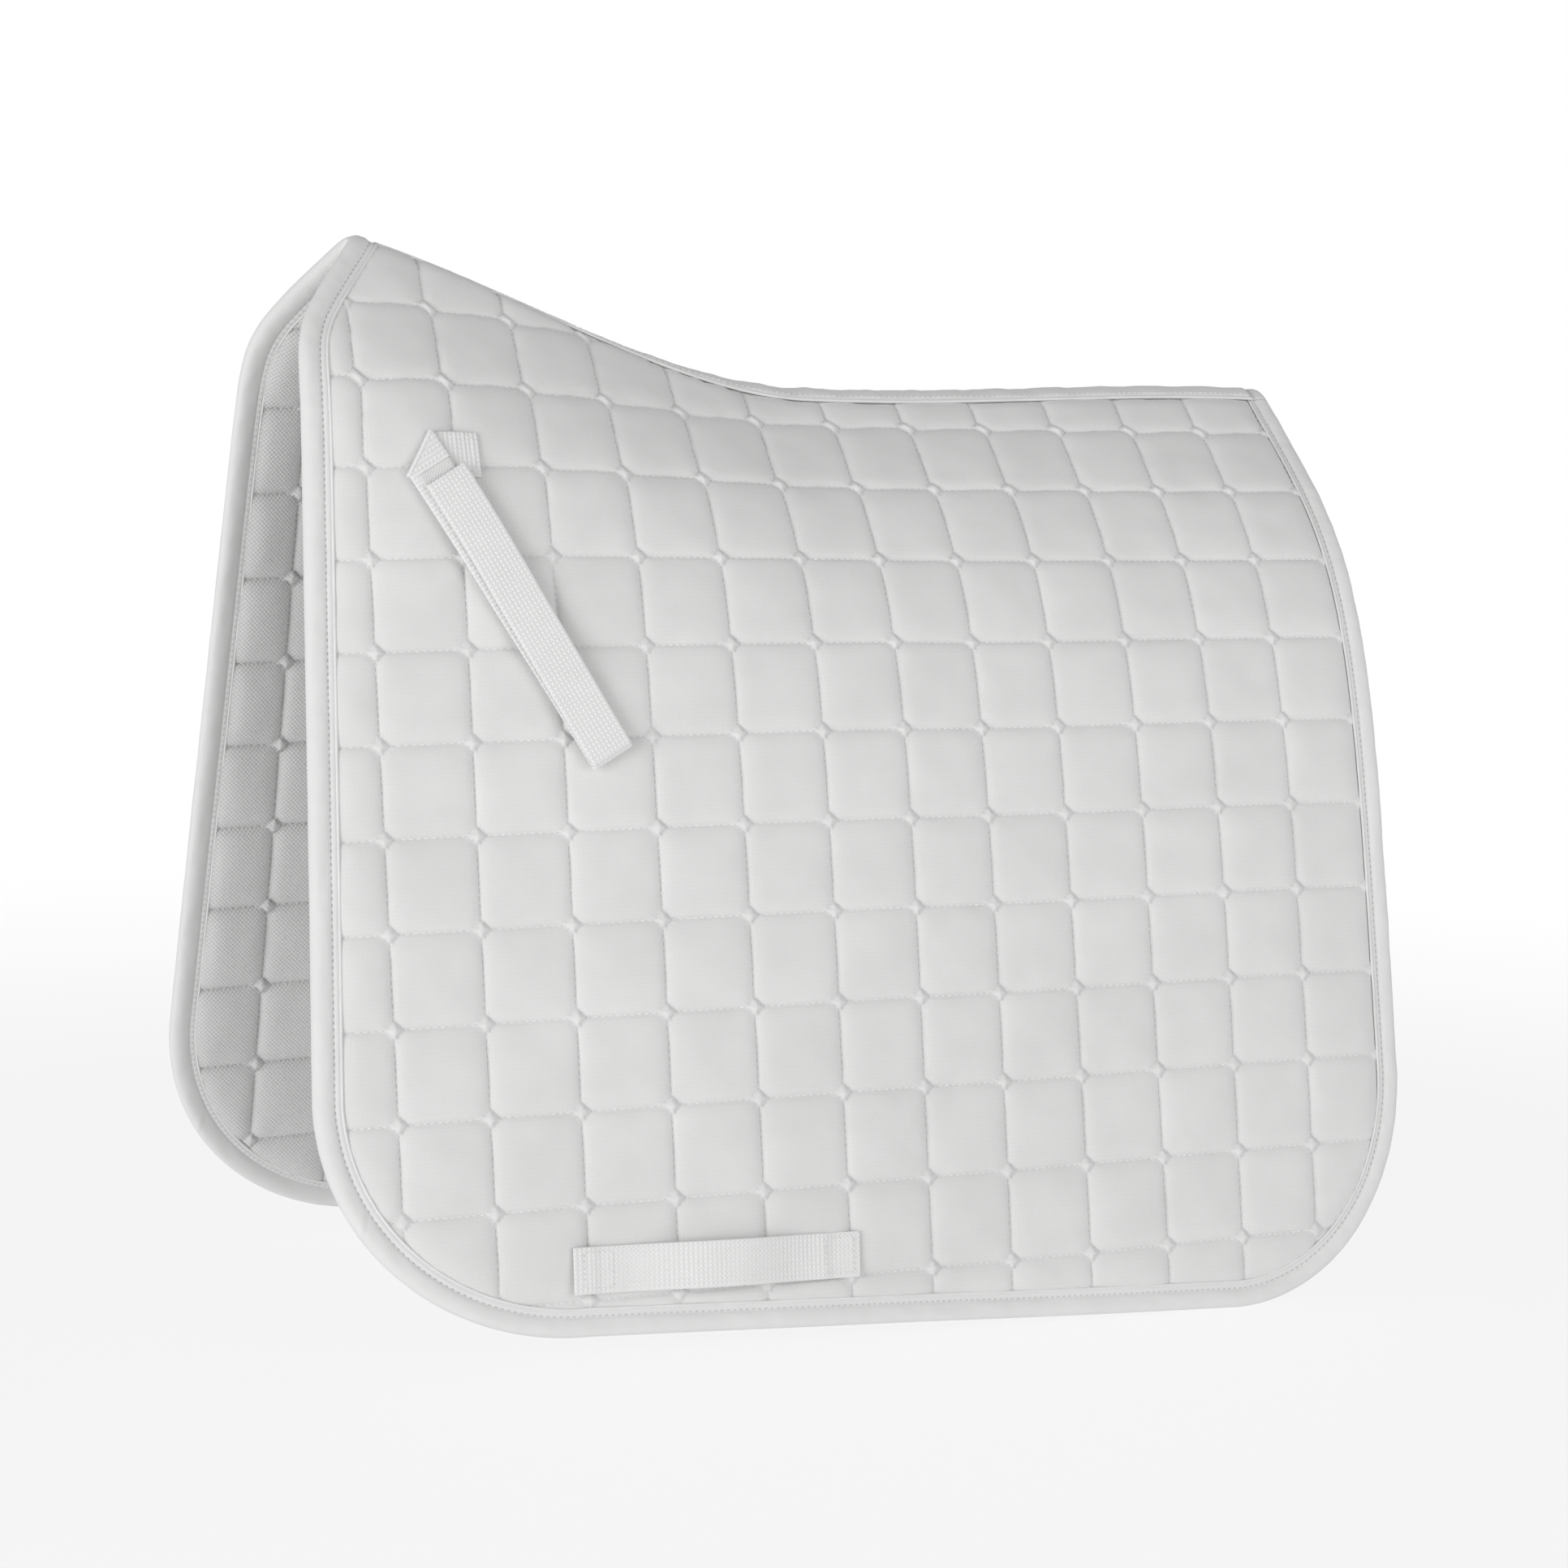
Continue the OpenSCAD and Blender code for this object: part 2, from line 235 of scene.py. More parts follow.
def ripple(u, v, wavelength, seed):
    """Even, seamless noise between about -1 and 1, made of waves in random directions."""
    draw = np.random.default_rng(seed)
    total = 0.0
    for _ in range(7):
        turn = draw.uniform(0.0, math.tau)
        phase = draw.uniform(0.0, math.tau)
        rate = math.tau / (wavelength * draw.uniform(0.7, 1.5))
        total = total + np.sin((u * math.cos(turn) + v * math.sin(turn)) * rate + phase)
    return total / 3.2


# ---- Outline of a half, along the piping ----

# The front edge: where it stands at the first quilting row and how much it leans. Above a certain
# row it curves back to the withers: that row, how steeply, and the length of the bend
FRONT_U = -18.0
FRONT_LEAN = 0.034
FRONT_CURVE_V = 22.0
FRONT_CURVE = 0.65
FRONT_CURVE_SPAN = 8.0


def front_u(v):
    """Where the front edge stands at row v."""
    lean = FRONT_U - FRONT_LEAN * (v - QUILT)
    bend = np.log1p(np.exp((FRONT_CURVE_V - v) / FRONT_CURVE_SPAN))
    return lean + FRONT_CURVE * FRONT_CURVE_SPAN * bend


def edge_path(step):
    """The outline from the spine down the front, along the bottom and up the rear.
    Rows of [u, v, outward u, outward v], evenly spaced."""
    start_u = 20.0
    for _ in range(12):
        start_u = float(front_u(tape_v(start_u)))
    corner_top = BOTTOM_FRONT_V - CORNER_H
    rear_top = BOTTOM_REAR_V - CORNER_H
    v = np.linspace(float(tape_v(start_u)), corner_top, 400)
    turn = np.radians(np.linspace(0.0, 90.0, 120))
    flat_u = float(front_u(corner_top))
    along = np.linspace(0.0, 1.0, 300)
    rear_start = REAR_U - CORNER_REAR
    rear = turn[::-1]
    parts = (
        (front_u(v), v),
        (flat_u + CORNER_FRONT * (1 - np.cos(turn)), corner_top + CORNER_H * np.sin(turn)),
        (mix(flat_u + CORNER_FRONT, rear_start, along), mix(BOTTOM_FRONT_V, BOTTOM_REAR_V, along)),
        (REAR_U - CORNER_REAR * (1 - np.cos(rear)), rear_top + CORNER_H * np.sin(rear)),
        (np.full(300, REAR_U), np.linspace(rear_top, float(tape_v(REAR_U)), 300)),
    )
    points = np.concatenate([np.stack(part, 1) for part in parts])
    gap = np.linalg.norm(np.diff(points, axis=0), axis=1)
    points = points[np.concatenate([[True], gap > 1e-6])]
    gap = gap[gap > 1e-6]
    reach = np.concatenate([[0.0], np.cumsum(gap)])
    count = int(round(reach[-1] / step)) + 1
    s = np.linspace(0.0, reach[-1], count)
    line = np.stack([np.interp(s, reach, points[:, 0]), np.interp(s, reach, points[:, 1])], 1)
    tangent = np.gradient(line, axis=0)
    spread = max(1, int(round(6.0 / step)))
    kernel = np.ones(2 * spread + 1)
    padded = np.pad(tangent, ((spread, spread), (0, 0)), mode="edge")
    tangent = np.stack([np.convolve(padded[:, k], kernel, mode="valid") for k in (0, 1)], 1)
    tangent /= np.linalg.norm(tangent, axis=1)[:, None]
    return np.column_stack([line, -tangent[:, 1], tangent[:, 0]]), s


EDGE, EDGE_S = edge_path(1.2)
EDGE_LENGTH = float(EDGE_S[-1])


def edge_place(s, d):
    """Pattern point at distance s along the outline and d outside it."""
    u, v, nu, nv = (np.interp(s, EDGE_S, EDGE[:, k]) for k in range(4))
    return u + nu * d, v + nv * d


edge_tree = KDTree(len(EDGE))
for index, row in enumerate(EDGE):
    edge_tree.insert((row[0], row[1], 0.0), index)
edge_tree.balance()


def edge_distance(u, v):
    """How far outside the outline each point is, and the nearest row of EDGE."""
    flat_u, flat_v = np.ravel(u), np.ravel(v)
    near = np.array([edge_tree.find((a, b, 0.0))[1] for a, b in zip(flat_u, flat_v)])
    row = EDGE[near]
    d = (flat_u - row[:, 0]) * row[:, 2] + (flat_v - row[:, 1]) * row[:, 3]
    return d.reshape(np.shape(u)), near.reshape(np.shape(u))


# ---- Quilting ----

DIAMOND = 4.7
CROWN_LIFT = 5.9
LINING_CROWN = 7.8
PINCH_LIFT = 2.3
BORDER_ROLL = 15.0
SEAM_ROLL = 8.0
CLOTH_T = 0.8
# How much the squares' height differs, the depth of the puckers at the stitching and of the
# wrinkles everywhere, of the groove along the stitching, and how far the border and the part
# under the binding are pressed down
UNEVEN = 0.07
PUCKER = 0.16
WRINKLE = 0.22
GROOVE = 0.6
BORDER_PRESS = 0.3
BINDING_PRESS = 0.9
# Grid lines of a quilted square, from its stitching to its middle, for the cloths and the filling
CELL_STEPS = (0.0, 0.8, 1.8, 3.2, 5.2, 8.0, 11.5, 16.0, 20.5, 25.0)
COARSE_STEPS = (0.0, 2.0, 5.0, 9.0, 15.0, 25.0)


def rise_to(distance, roll, power=2.1):
    """A round shoulder: 0 at distance 0 and 1 from roll onwards."""
    rest = 1.0 - np.clip(distance / roll, 0.0, 1.0)
    return (1.0 - rest ** power) ** (1.0 / power)


def from_line(p):
    """Signed distance to the nearest quilting line of one direction."""
    return (p + QUILT / 2) % QUILT - QUILT / 2


# Next to the spine a quilting line steps sideways at each crossing: by how much, from which row
# this fades and over how many, how short the step is and how far along the line it dies out
JOG = 1.9
JOG_ROWS = (40.0, 110.0)
JOG_STEP = 3.5
JOG_REACH = 15.0


def jog(along, v):
    """Sideways step of a quilting line as it passes a crossing, in the rows next to the spine."""
    upper = 1.0 - smooth((v - JOG_ROWS[0]) / JOG_ROWS[1])
    return JOG * upper * np.tanh(along / JOG_STEP) * np.exp(-np.abs(along) / JOG_REACH)


def to_quilt(u, v, offset):
    """Offsets of pattern points from the nearest crossing, with the jog of the lines undone."""
    a = from_line(u - offset[0])
    b = from_line(v - offset[1])
    return a - jog(b, v), b - jog(a, v)


def from_quilt(u, v, offset):
    """Pattern points of a straight quilting grid, with the jog of its lines put in."""
    a = from_line(u - offset[0])
    b = from_line(v - offset[1])
    new_a, new_b = a, b
    for _ in range(8):
        new_a, new_b = a + jog(new_b, v), b + jog(new_a, v)
    return u + new_a - a, v + new_b - b


def stitch_distance(a, b):
    """Distance to the stitching, which runs round a diamond at each crossing."""
    to_level = np.hypot(b, np.maximum(DIAMOND - a, 0.0))
    to_upright = np.hypot(a, np.maximum(DIAMOND - b, 0.0))
    to_diamond = np.abs(DIAMOND - a - b) / math.sqrt(2.0)
    outside = np.minimum(np.minimum(to_level, to_upright), to_diamond)
    return np.where(a + b < DIAMOND, to_diamond, outside)


def cell_puff(a, b):
    """0 on the stitching, 1 on the crown of a square, and a small puff inside each diamond."""
    half = QUILT / 2
    dome = rise_to(a, half) * rise_to(b, half) * rise_to((a + b - DIAMOND) / math.sqrt(2.0), 9.0)
    steep = 1.0 - np.exp(-stitch_distance(a, b) / 3.2)
    diamond = 0.7 * np.sqrt(np.clip(1.0 - ((a + b) / DIAMOND) ** 2, 0.0, 1.0))
    return np.where(a + b < DIAMOND, diamond, 0.4 * steep + 0.6 * dome)


def cloth_lift(u, v, side, d, seed=11, high=CROWN_LIFT):
    """Lift of the outer face of the quilted panel, where d is the distance outside the outline."""
    offset = QUILT_OFFSET[side]
    a, b = (np.abs(p) for p in to_quilt(u, v, offset))
    border = rise_to(-d - 1.8, BORDER_ROLL) * rise_to(v - tape_v(u) - 0.5, SEAM_ROLL)
    cell_u = np.floor((u - offset[0]) / QUILT)
    cell_v = np.floor((v - offset[1]) / QUILT)
    uneven = 1.0 - UNEVEN * (1.0 + np.sin(cell_u * 2.9 + cell_v * 4.7 + seed))
    near = stitch_distance(a, b)
    pucker = PUCKER * np.exp(-near / 5.0) * ripple(u, v, 7.0, seed)
    wrinkle = WRINKLE * ripple(u, v, 21.0, seed + 1)
    lift = PINCH_LIFT + (high - PINCH_LIFT) * cell_puff(a, b) * border * uneven
    under_binding = np.clip((d + 1.4) / 1.4, 0.0, 1.0)
    lift = lift - GROOVE * np.exp(-near / 0.9) - BORDER_PRESS * (1.0 - border)
    lift = lift - BINDING_PRESS * under_binding
    return lift + (pucker + wrinkle) * border * np.clip(near / 2.0, 0.15, 1.0)


def lining_lift(u, v, side, d):
    """The same for the lining, which is slacker and puffs out more."""
    return cloth_lift(u, v, side, d, seed=31, high=LINING_CROWN)


def stations(low, high, offset, steps):
    """Grid lines that fall on the quilting lines and crowd towards them."""
    cell = list(steps) + [QUILT - s for s in reversed(steps[1:-1])]
    first = math.floor((low - offset) / QUILT)
    last = math.ceil((high - offset) / QUILT)
    lines = np.array([offset + QUILT * n + s for n in range(first, last) for s in cell])
    return lines[(lines > low - 6.0) & (lines < high + 6.0)]


# How far the cloths run on under the binding, and under the spine's tape
HIDDEN_D = 5.0
TUCK = 2.5


def panel_grid(side, steps, hidden=HIDDEN_D):
    """Pattern points of a half, cut to its outline: u, v, d, and the four-sided faces kept."""
    offset = QUILT_OFFSET[side]
    us = stations(-45.0, REAR_U + hidden, offset[0], steps)
    vs = stations(-60.0, BOTTOM_REAR_V + hidden, offset[1], steps)
    u, v = from_quilt(*np.meshgrid(us, vs), offset)
    d, near = edge_distance(u, v)
    inside = (d < hidden) & (v > tape_v(u) - TUCK)
    for _ in range(2):
        row = EDGE[near]
        over = np.maximum(d - hidden, 0.0)
        u = u - row[..., 2] * over
        v = v - row[..., 3] * over
        v = np.maximum(v, tape_v(u) - TUCK)
        d, near = edge_distance(u, v)
    quads = grid_quads(*u.shape)
    quads = quads[inside.ravel()[quads].any(1)]
    used, quads = np.unique(quads, return_inverse=True)
    quads = quads.reshape(-1, 4)
    return u.ravel()[used], v.ravel()[used], d.ravel()[used], quads


# ---- Mesh building ----


def add_piece(name, points, faces, material, uv):
    """A smooth mesh object; uv, in metres on the cloth, goes into the UV map named pattern.
    material is a key of MATERIALS."""
    mesh = bpy.data.meshes.new(name)
    mesh.from_pydata(np.asarray(points).tolist(), [], [list(f) for f in faces])
    mesh.polygons.foreach_set("use_smooth", np.ones(len(mesh.polygons), bool))
    corners = np.zeros(len(mesh.loops), np.int32)
    mesh.loops.foreach_get("vertex_index", corners)
    layer = mesh.uv_layers.new(name="pattern")
    layer.data.foreach_set("uv", np.asarray(uv, np.float32)[corners].ravel())
    mesh.materials.append(MATERIALS[material])
    mesh.update()
    piece = bpy.data.objects.new(name, mesh)
    bpy.context.scene.collection.objects.link(piece)
    return piece


def closed_faces(quads, count, side):
    """Faces of a closed sheet from the faces of its outer layer; the inner layer has count more."""
    edges = np.concatenate([quads[:, [k, (k + 1) % 4]] for k in range(4)])
    key = edges[:, 0] * count + edges[:, 1]
    back = edges[:, 1] * count + edges[:, 0]
    rim = edges[~np.isin(key, back)]
    walls = np.stack([rim[:, 1], rim[:, 0], rim[:, 0] + count, rim[:, 1] + count], 1)
    faces = np.concatenate([quads, quads[:, ::-1] + count, walls])
    return faces if side == "left" else faces[:, ::-1]


def two_layers(name, outer, inner, quads, side, material, uv):
    """A closed piece between two layers of points, which share their faces and their uv."""
    points = np.concatenate([outer, inner])
    faces = closed_faces(quads, len(outer), side)
    return add_piece(name, points, faces.tolist(), material, np.concatenate([uv, uv]))


def layered_piece(name, side, u, v, quads, outer, inner, material, uv=None):
    """A closed piece between two lifts over pattern points."""
    flat = np.stack([u, v], 1) * MM if uv is None else uv
    return two_layers(name, lay(u, v, outer, side), lay(u, v, inner, side), quads, side, material, flat)


def grid_uv(along, across):
    return np.stack([along, across], -1).reshape(-1, 2) * MM


def grid_quads(rows, cols):
    index = np.arange(rows * cols).reshape(rows, cols)
    return np.stack([index[:-1, :-1], index[1:, :-1], index[1:, 1:], index[:-1, 1:]], -1).reshape(-1, 4)


def ring_faces(count, sides, flip):
    """Faces of a capped tube of count rings."""
    index = np.arange(count * sides).reshape(count, sides)
    ahead = np.roll(index, -1, axis=1)
    quads = np.stack([index[:-1], index[1:], ahead[1:], ahead[:-1]], -1).reshape(-1, 4)
    faces = quads.tolist() + [index[0].tolist(), index[-1, ::-1].tolist()]
    return [f[::-1] for f in faces] if flip else faces


def running_length(points):
    """Distance of each point along the line through them all."""
    return np.concatenate([[0.0], np.linalg.norm(np.diff(points, axis=0), axis=1).cumsum()])


def tube_piece(name, rings, material, flip, along):
    """A capped tube through rings of points; along is each ring's distance along it."""
    count, sides = rings.shape[:2]
    around = running_length(rings[0])
    uv = np.stack(np.broadcast_arrays(np.asarray(along)[:, None] * MM, around[None, :]), -1)
    faces = ring_faces(count, sides, flip)
    return add_piece(name, rings.reshape(-1, 3), faces, material, uv.reshape(-1, 2))


STITCH_KEYS = ("from", "to", "up")
# A stitch's three rings: how far along it each stands, its size and how much it is raised,
# both as a share of the thread's radius, and how far the two tips are sunk
STITCH_RINGS = ((0.14, 0.75, 0.1), (0.5, 1.0, 0.35), (0.86, 0.75, 0.1))
TIP_SUNK = 0.7


def no_stitches():
    return {key: [] for key in STITCH_KEYS}


def sew(points, side, face, a, b, lift_a, lift_b):
    """Adds stitches from pattern points a to b; face is 1 outside and -1 on the lining."""
    points["from"].append(lay(*a.T, lift_a, side))
    points["to"].append(lay(*b.T, lift_b, side))
    points["up"].append((lay(*a.T, lift_a + 1.0, side) - lay(*a.T, lift_a, side)) * face)


def thread_piece(name, points, radius):
    """Short sunken stitches, each between its two needle holes. points holds the stitches' ends
    under from and to, and the way up from the cloth under up."""
    starts, ends, normals = (np.concatenate(points[key]) for key in STITCH_KEYS)
    n = len(starts)
    run = ends - starts
    length = np.linalg.norm(run, axis=1)[:, None]
    run = run / length
    across = np.cross(run, normals)
    across /= np.linalg.norm(across, axis=1)[:, None]
    up = np.cross(across, run)
    sides = 6
    angle = np.arange(sides) * math.tau / sides
    rings = []
    for share, size, raised in STITCH_RINGS:
        centre = starts + run * length * share + up * radius * raised
        for a in angle:
            rings.append(centre + (across * math.cos(a) + up * math.sin(a)) * radius * size)
    tips = [starts - up * radius * TIP_SUNK, ends - up * radius * TIP_SUNK]
    mesh_points = np.stack(rings + tips, 1)
    faces = []
    for k in range(sides):
        j = (k + 1) % sides
        faces.append([k, j, j + sides, k + sides])
        faces.append([k + sides, j + sides, j + 2 * sides, k + 2 * sides])
    quads = np.array(faces)
    first_cap = [[3 * sides, (k + 1) % sides, k] for k in range(sides)]
    last_cap = [[3 * sides + 1, 2 * sides + k, 2 * sides + (k + 1) % sides] for k in range(sides)]
    caps = np.array(first_cap + last_cap)
    each = 3 * sides + 2
    base = (np.arange(n) * each)[:, None, None]
    all_faces = (quads[None] + base).reshape(-1, 4).tolist()
    all_faces += (caps[None] + base).reshape(-1, 3).tolist()
    reach = np.concatenate([np.repeat([ring[0] for ring in STITCH_RINGS], sides), [0.0, 1.0]])
    uv = np.stack(np.broadcast_arrays(reach[None, :] * length, np.zeros((1, each))), -1)
    return add_piece(name, mesh_points.reshape(-1, 3), all_faces, "thread", uv.reshape(-1, 2))


# ---- Binding section ----

# Cross-section of the binding: distance outside the outline, and lift, from its stitched
# outer border round the edge of the pad to its inner border
BINDING_SECTION = np.array([
    [-1.6, 0.8], [-1.6, 2.3], [-1.2, 2.9], [0.0, 3.1], [1.0, 3.1], [1.5, 2.7], [2.0, 2.4], [2.5, 2.7],
    [3.2, 3.3], [4.4, 3.8], [6.4, 4.2], [8.6, 4.3], [10.4, 3.9], [11.9, 3.0], [12.7, 1.7], [13.0, 0.0],
    [12.7, -1.7], [11.9, -3.0], [10.2, -4.1], [8.0, -4.5], [5.6, -4.3], [3.6, -3.8], [2.2, -3.2],
    [1.5, -2.8], [1.0, -2.6], [0.5, -2.8], [-0.6, -3.1], [-1.8, -3.0], [-2.3, -2.3], [-2.3, -0.8],
])
# How deep each point of the section sinks at a needle hole, as a share of HOLE_DEPTH
STITCH_POINTS = {6: 1.0, 5: 0.4, 7: 0.4, 24: 1.0, 23: 0.4, 25: 0.4}
HOLE_PITCH = 3.6
HOLE_DEPTH = 0.75
BINDING_REACH = running_length(BINDING_SECTION)
HOLE_ROWS = [float(BINDING_REACH[k]) for k, share in STITCH_POINTS.items() if share == 1.0]


# ---- Materials ----


class Value:
    """A node's output. Adding, subtracting or multiplying one adds a math node."""

    def __init__(self, nodes, socket):
        self.nodes = nodes
        self.socket = socket

    def __add__(self, other):
        return self.nodes.math("ADD", self, other)

    def __sub__(self, other):
        return self.nodes.math("SUBTRACT", self, other)

    def __mul__(self, other):
        return self.nodes.math("MULTIPLY", self, other)


class Nodes:
    """A short way to write a node tree."""

    def __init__(self, name):
        self.material = bpy.data.materials.new(name)
        self.material.use_nodes = True
        self.tree = self.material.node_tree
        self.shader = self.tree.nodes["Principled BSDF"]

    def add(self, kind, **settings):
        node = self.tree.nodes.new("ShaderNode" + kind)
        for key, value in settings.items():
            setattr(node, key, value)
        return node

    def link(self, source, target):
        self.tree.links.new(source, target)

    def math(self, operation, *values):
        node = self.add("Math", operation=operation)
        for socket, value in zip(node.inputs, values):
            if isinstance(value, Value):
                self.link(value.socket, socket)
            else:
                socket.default_value = value
        return Value(self, node.outputs[0])

    def pattern(self):
        """The two coordinates on the cloth, in millimetres."""
        split = self.add("SeparateXYZ")
        self.link(self.add("UVMap", uv_map="pattern").outputs[0], split.inputs[0])
        return [Value(self, split.outputs[k]) * (1.0 / MM) for k in (0, 1)]

    def wave(self, value, pitch):
        """A sine of a coordinate in millimetres, from -1 to 1."""
        return self.math("SINE", value * (math.tau / pitch))

    def noise(self, scale, detail=4.0):
        node = self.add("TexNoise")
        self.link(self.add("TexCoord").outputs["Object"], node.inputs["Vector"])
        node.inputs["Scale"].default_value = scale
        node.inputs["Detail"].default_value = detail
        return Value(self, node.outputs["Fac"])

    def colours(self, value, dark, light, low=0.3, high=0.7):
        """Greys from dark to light as value goes from low to high."""
        ramp = self.add("ValToRGB")
        for stop, place, shade in zip(ramp.color_ramp.elements, (low, high), (dark, light)):
            stop.position = place
            stop.color = (shade, shade, shade * 0.995, 1.0)
        self.link(value.socket, ramp.inputs[0])
        self.link(ramp.outputs[0], self.shader.inputs["Base Color"])

    def bump(self, height, depth_mm, strength):
        node = self.add("Bump")
        node.inputs["Strength"].default_value = strength
        node.inputs["Distance"].default_value = depth_mm * MM
        self.link(height.socket, node.inputs["Height"])
        self.link(node.outputs[0], self.shader.inputs["Normal"])

    def finish(self, roughness, sheen, sheen_roughness=0.5):
        for name, value in (("Roughness", roughness), ("Sheen Weight", sheen),
                            ("Sheen Roughness", sheen_roughness), ("Specular IOR Level", 0.25)):
            self.shader.inputs[name].default_value = value
        return self.material


def shell_material():
    """Fine plain weave of brushed polycotton."""
    n = Nodes("shell_cloth")
    u, v = n.pattern()
    weave = n.wave(u, 1.0) * n.wave(v, 1.15)
    threads = (n.wave(u, 2.1) + n.wave(v, 2.3)) * 0.04
    slub = n.noise(420.0, 3.0) * 1.6
    n.colours(weave * 0.06 + threads + n.noise(26.0, 6.0), 0.79, 0.845)
    n.bump(weave + slub, 0.10, 0.35)
    return n.finish(0.88, 0.25)


def lining_material():
    """Twill, with a fainter second diagonal across the first."""
    n = Nodes("lining_cloth")
    u, v = n.pattern()
    twill = n.wave(u + v, 2.6) + n.wave(u - v, 2.6) * 0.8
    # Painted shade: the lining's greys are set darker than the shell's, standing in for the shade that
    # falls on it inside the pad.
    n.colours(twill * 0.3 + n.noise(22.0, 5.0), 0.67, 0.77, 0.1, 0.9)
    n.bump(twill + n.noise(500.0, 2.0), 0.18, 0.5)
    return n.finish(0.9, 0.2)


def binding_material():
    """Smooth knitted tape with fine wales along it, with dashes of painted shade in its rows of needle
    holes for the shadow inside each hole.
    """
    n = Nodes("binding_cloth")
    along, across = n.pattern()
    knit = n.wave(across, 0.8) * (n.wave(along, 1.1) * 0.4 + 1.0)
    hole = n.math("GREATER_THAN", n.math("COSINE", along * (math.tau / HOLE_PITCH)), 0.25)
    shade = n.noise(40.0, 6.0) * 0.12 + 0.5
    # Painted shade: each needle hole is darkened to stand in for the shadow that falls into it.
    for row in HOLE_ROWS:
        near = n.math("LESS_THAN", n.math("ABSOLUTE", across - row), 0.42)
        shade = shade - near * hole * 0.32
    n.colours(shade, 0.55, 0.85, 0.0, 0.6)
    n.bump(knit + n.noise(600.0, 2.0), 0.06, 0.3)
    return n.finish(0.8, 0.35, 0.4)


def piping_material():
    """Twisted cord."""
    n = Nodes("piping_cord")
    along, across = n.pattern()
    twist = n.wave(along + across * 0.7, 1.3)
    n.colours(twist * 0.1 + n.noise(60.0), 0.82, 0.88)
    n.bump(twist, 0.05, 0.3)
    return n.finish(0.75, 0.3)


def webbing_material(name, rib_pitch, across_pitch, rib_share):
    """Bright woven polypropylene, with painted shade in the pits of its weave. Its ribs are in the mesh.
    """
    n = Nodes(name)
    along, across = n.pattern()
    filament = n.wave(along, 0.55) * n.wave(across, 0.5)
    rib = n.wave(along, rib_pitch)
    weave = rib * rib_share + rib * n.wave(across, across_pitch) * (1.0 - rib_share)
    soft = n.noise(90.0, 5.0) * 0.2 + 0.4
    # Painted shade: the weave term darkens the colour in the pits between the ribs, where shade falls.
    n.colours(filament * 0.1 + (weave * 0.3 + soft), 0.74, 0.94, 0.1, 0.7)
    n.bump(filament + n.noise(900.0, 2.0), 0.06, 0.35)
    return n.finish(0.55, 0.25, 0.35)


def thread_material():
    """Two-ply sewing thread."""
    n = Nodes("thread")
    ply = n.wave(n.pattern()[0], 0.45)
    n.colours(ply * 0.12 + n.noise(120.0), 0.86, 0.94)
    n.bump(ply, 0.04, 0.4)
    return n.finish(0.5, 0.3)


def hook_material():
    """Stiff tape with rows of tiny hooks."""
    n = Nodes("hook_tape")
    along, across = n.pattern()
    hooks = n.wave(along, 1.4) * n.wave(across, 1.2)
    n.colours(hooks * 0.15 + n.noise(80.0), 0.80, 0.90)
    n.bump(hooks, 0.25, 0.6)
    return n.finish(0.6, 0.1)


def fibre_material(name, scale, detail, depth_mm, strength, sheen):
    """Loose fibres: the wadding, and the nap of the loop tape."""
    n = Nodes(name)
    fibres = n.noise(scale, detail)
    n.colours(fibres, 0.78, 0.90)
    n.bump(fibres, depth_mm, strength)
    return n.finish(0.95, sheen)


MATERIALS = {
    "shell_cloth": shell_material(),
    "lining_cloth": lining_material(),
    "binding_cloth": binding_material(),
    "piping_cord": piping_material(),
    "webbing": webbing_material("webbing", 2.5, 2.25, 0.6),
    "tail_webbing": webbing_material("tail_webbing", 2.6, 2.4, 0.3),
    "thread": thread_material(),
    "wadding": fibre_material("wadding", 260.0, 8.0, 0.6, 0.8, 0.4),
    "hook_tape": hook_material(),
    "loop_tape": fibre_material("loop_tape", 1500.0, 6.0, 0.4, 0.7, 0.6),
}

# ---- Fitting a piece into the frame ----

row_u = np.linspace(-20.0, REAR_U, 60)
FOLD_END = Vector((0.0, 0.0, float(lay(row_u, FLAP_V, 0.0)[:, 2].max())))
FOLD_START = Vector((0.0, 0.0, -3.0 * MM))


def fit(piece, slot, replaced, body=None, fold=None):
    """Hides the CAD nodes a piece stands for and parents it to the empty of the body it rides on; a
    piece given a fold is only baked into world space. slot is not used.
    """
    if replaced:
        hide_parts(*replaced)
    if fold:
        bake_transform(piece)
    else:
        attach(piece, body)
    return piece


def panel_fold(side):
    """The soft fold between the spine and a flap."""
    return ("spine", side + "_flap", FOLD_START, FOLD_END)


# ---- Quilted panels ----


def pattern_area():
    """Flat area of a half in square metres, inside its outline."""
    u, v = EDGE[:, 0], EDGE[:, 1]
    top_u = np.linspace(REAR_U, EDGE[0, 0], 200)
    u = np.concatenate([u, top_u])
    v = np.concatenate([v, tape_v(top_u)])
    return abs(np.dot(u, np.roll(v, 1)) - np.dot(v, np.roll(u, 1))) / 2 * MM * MM


def flat_size():
    """Flat length and depth of a half's cloth in metres, with its margin under the binding."""
    length = np.ptp(EDGE[:, 0]) + 2 * HIDDEN_D
    depth = EDGE[:, 1].max() - tape_v(EDGE[0, 0]) + HIDDEN_D + TUCK
    return round(float(length) * MM, 3), round(float(depth) * MM, 3)


# Room between the filling and a cloth, and the least lift of the filling's faces
FILLING_GAP = 0.3
LEAST_FILLING = 0.15


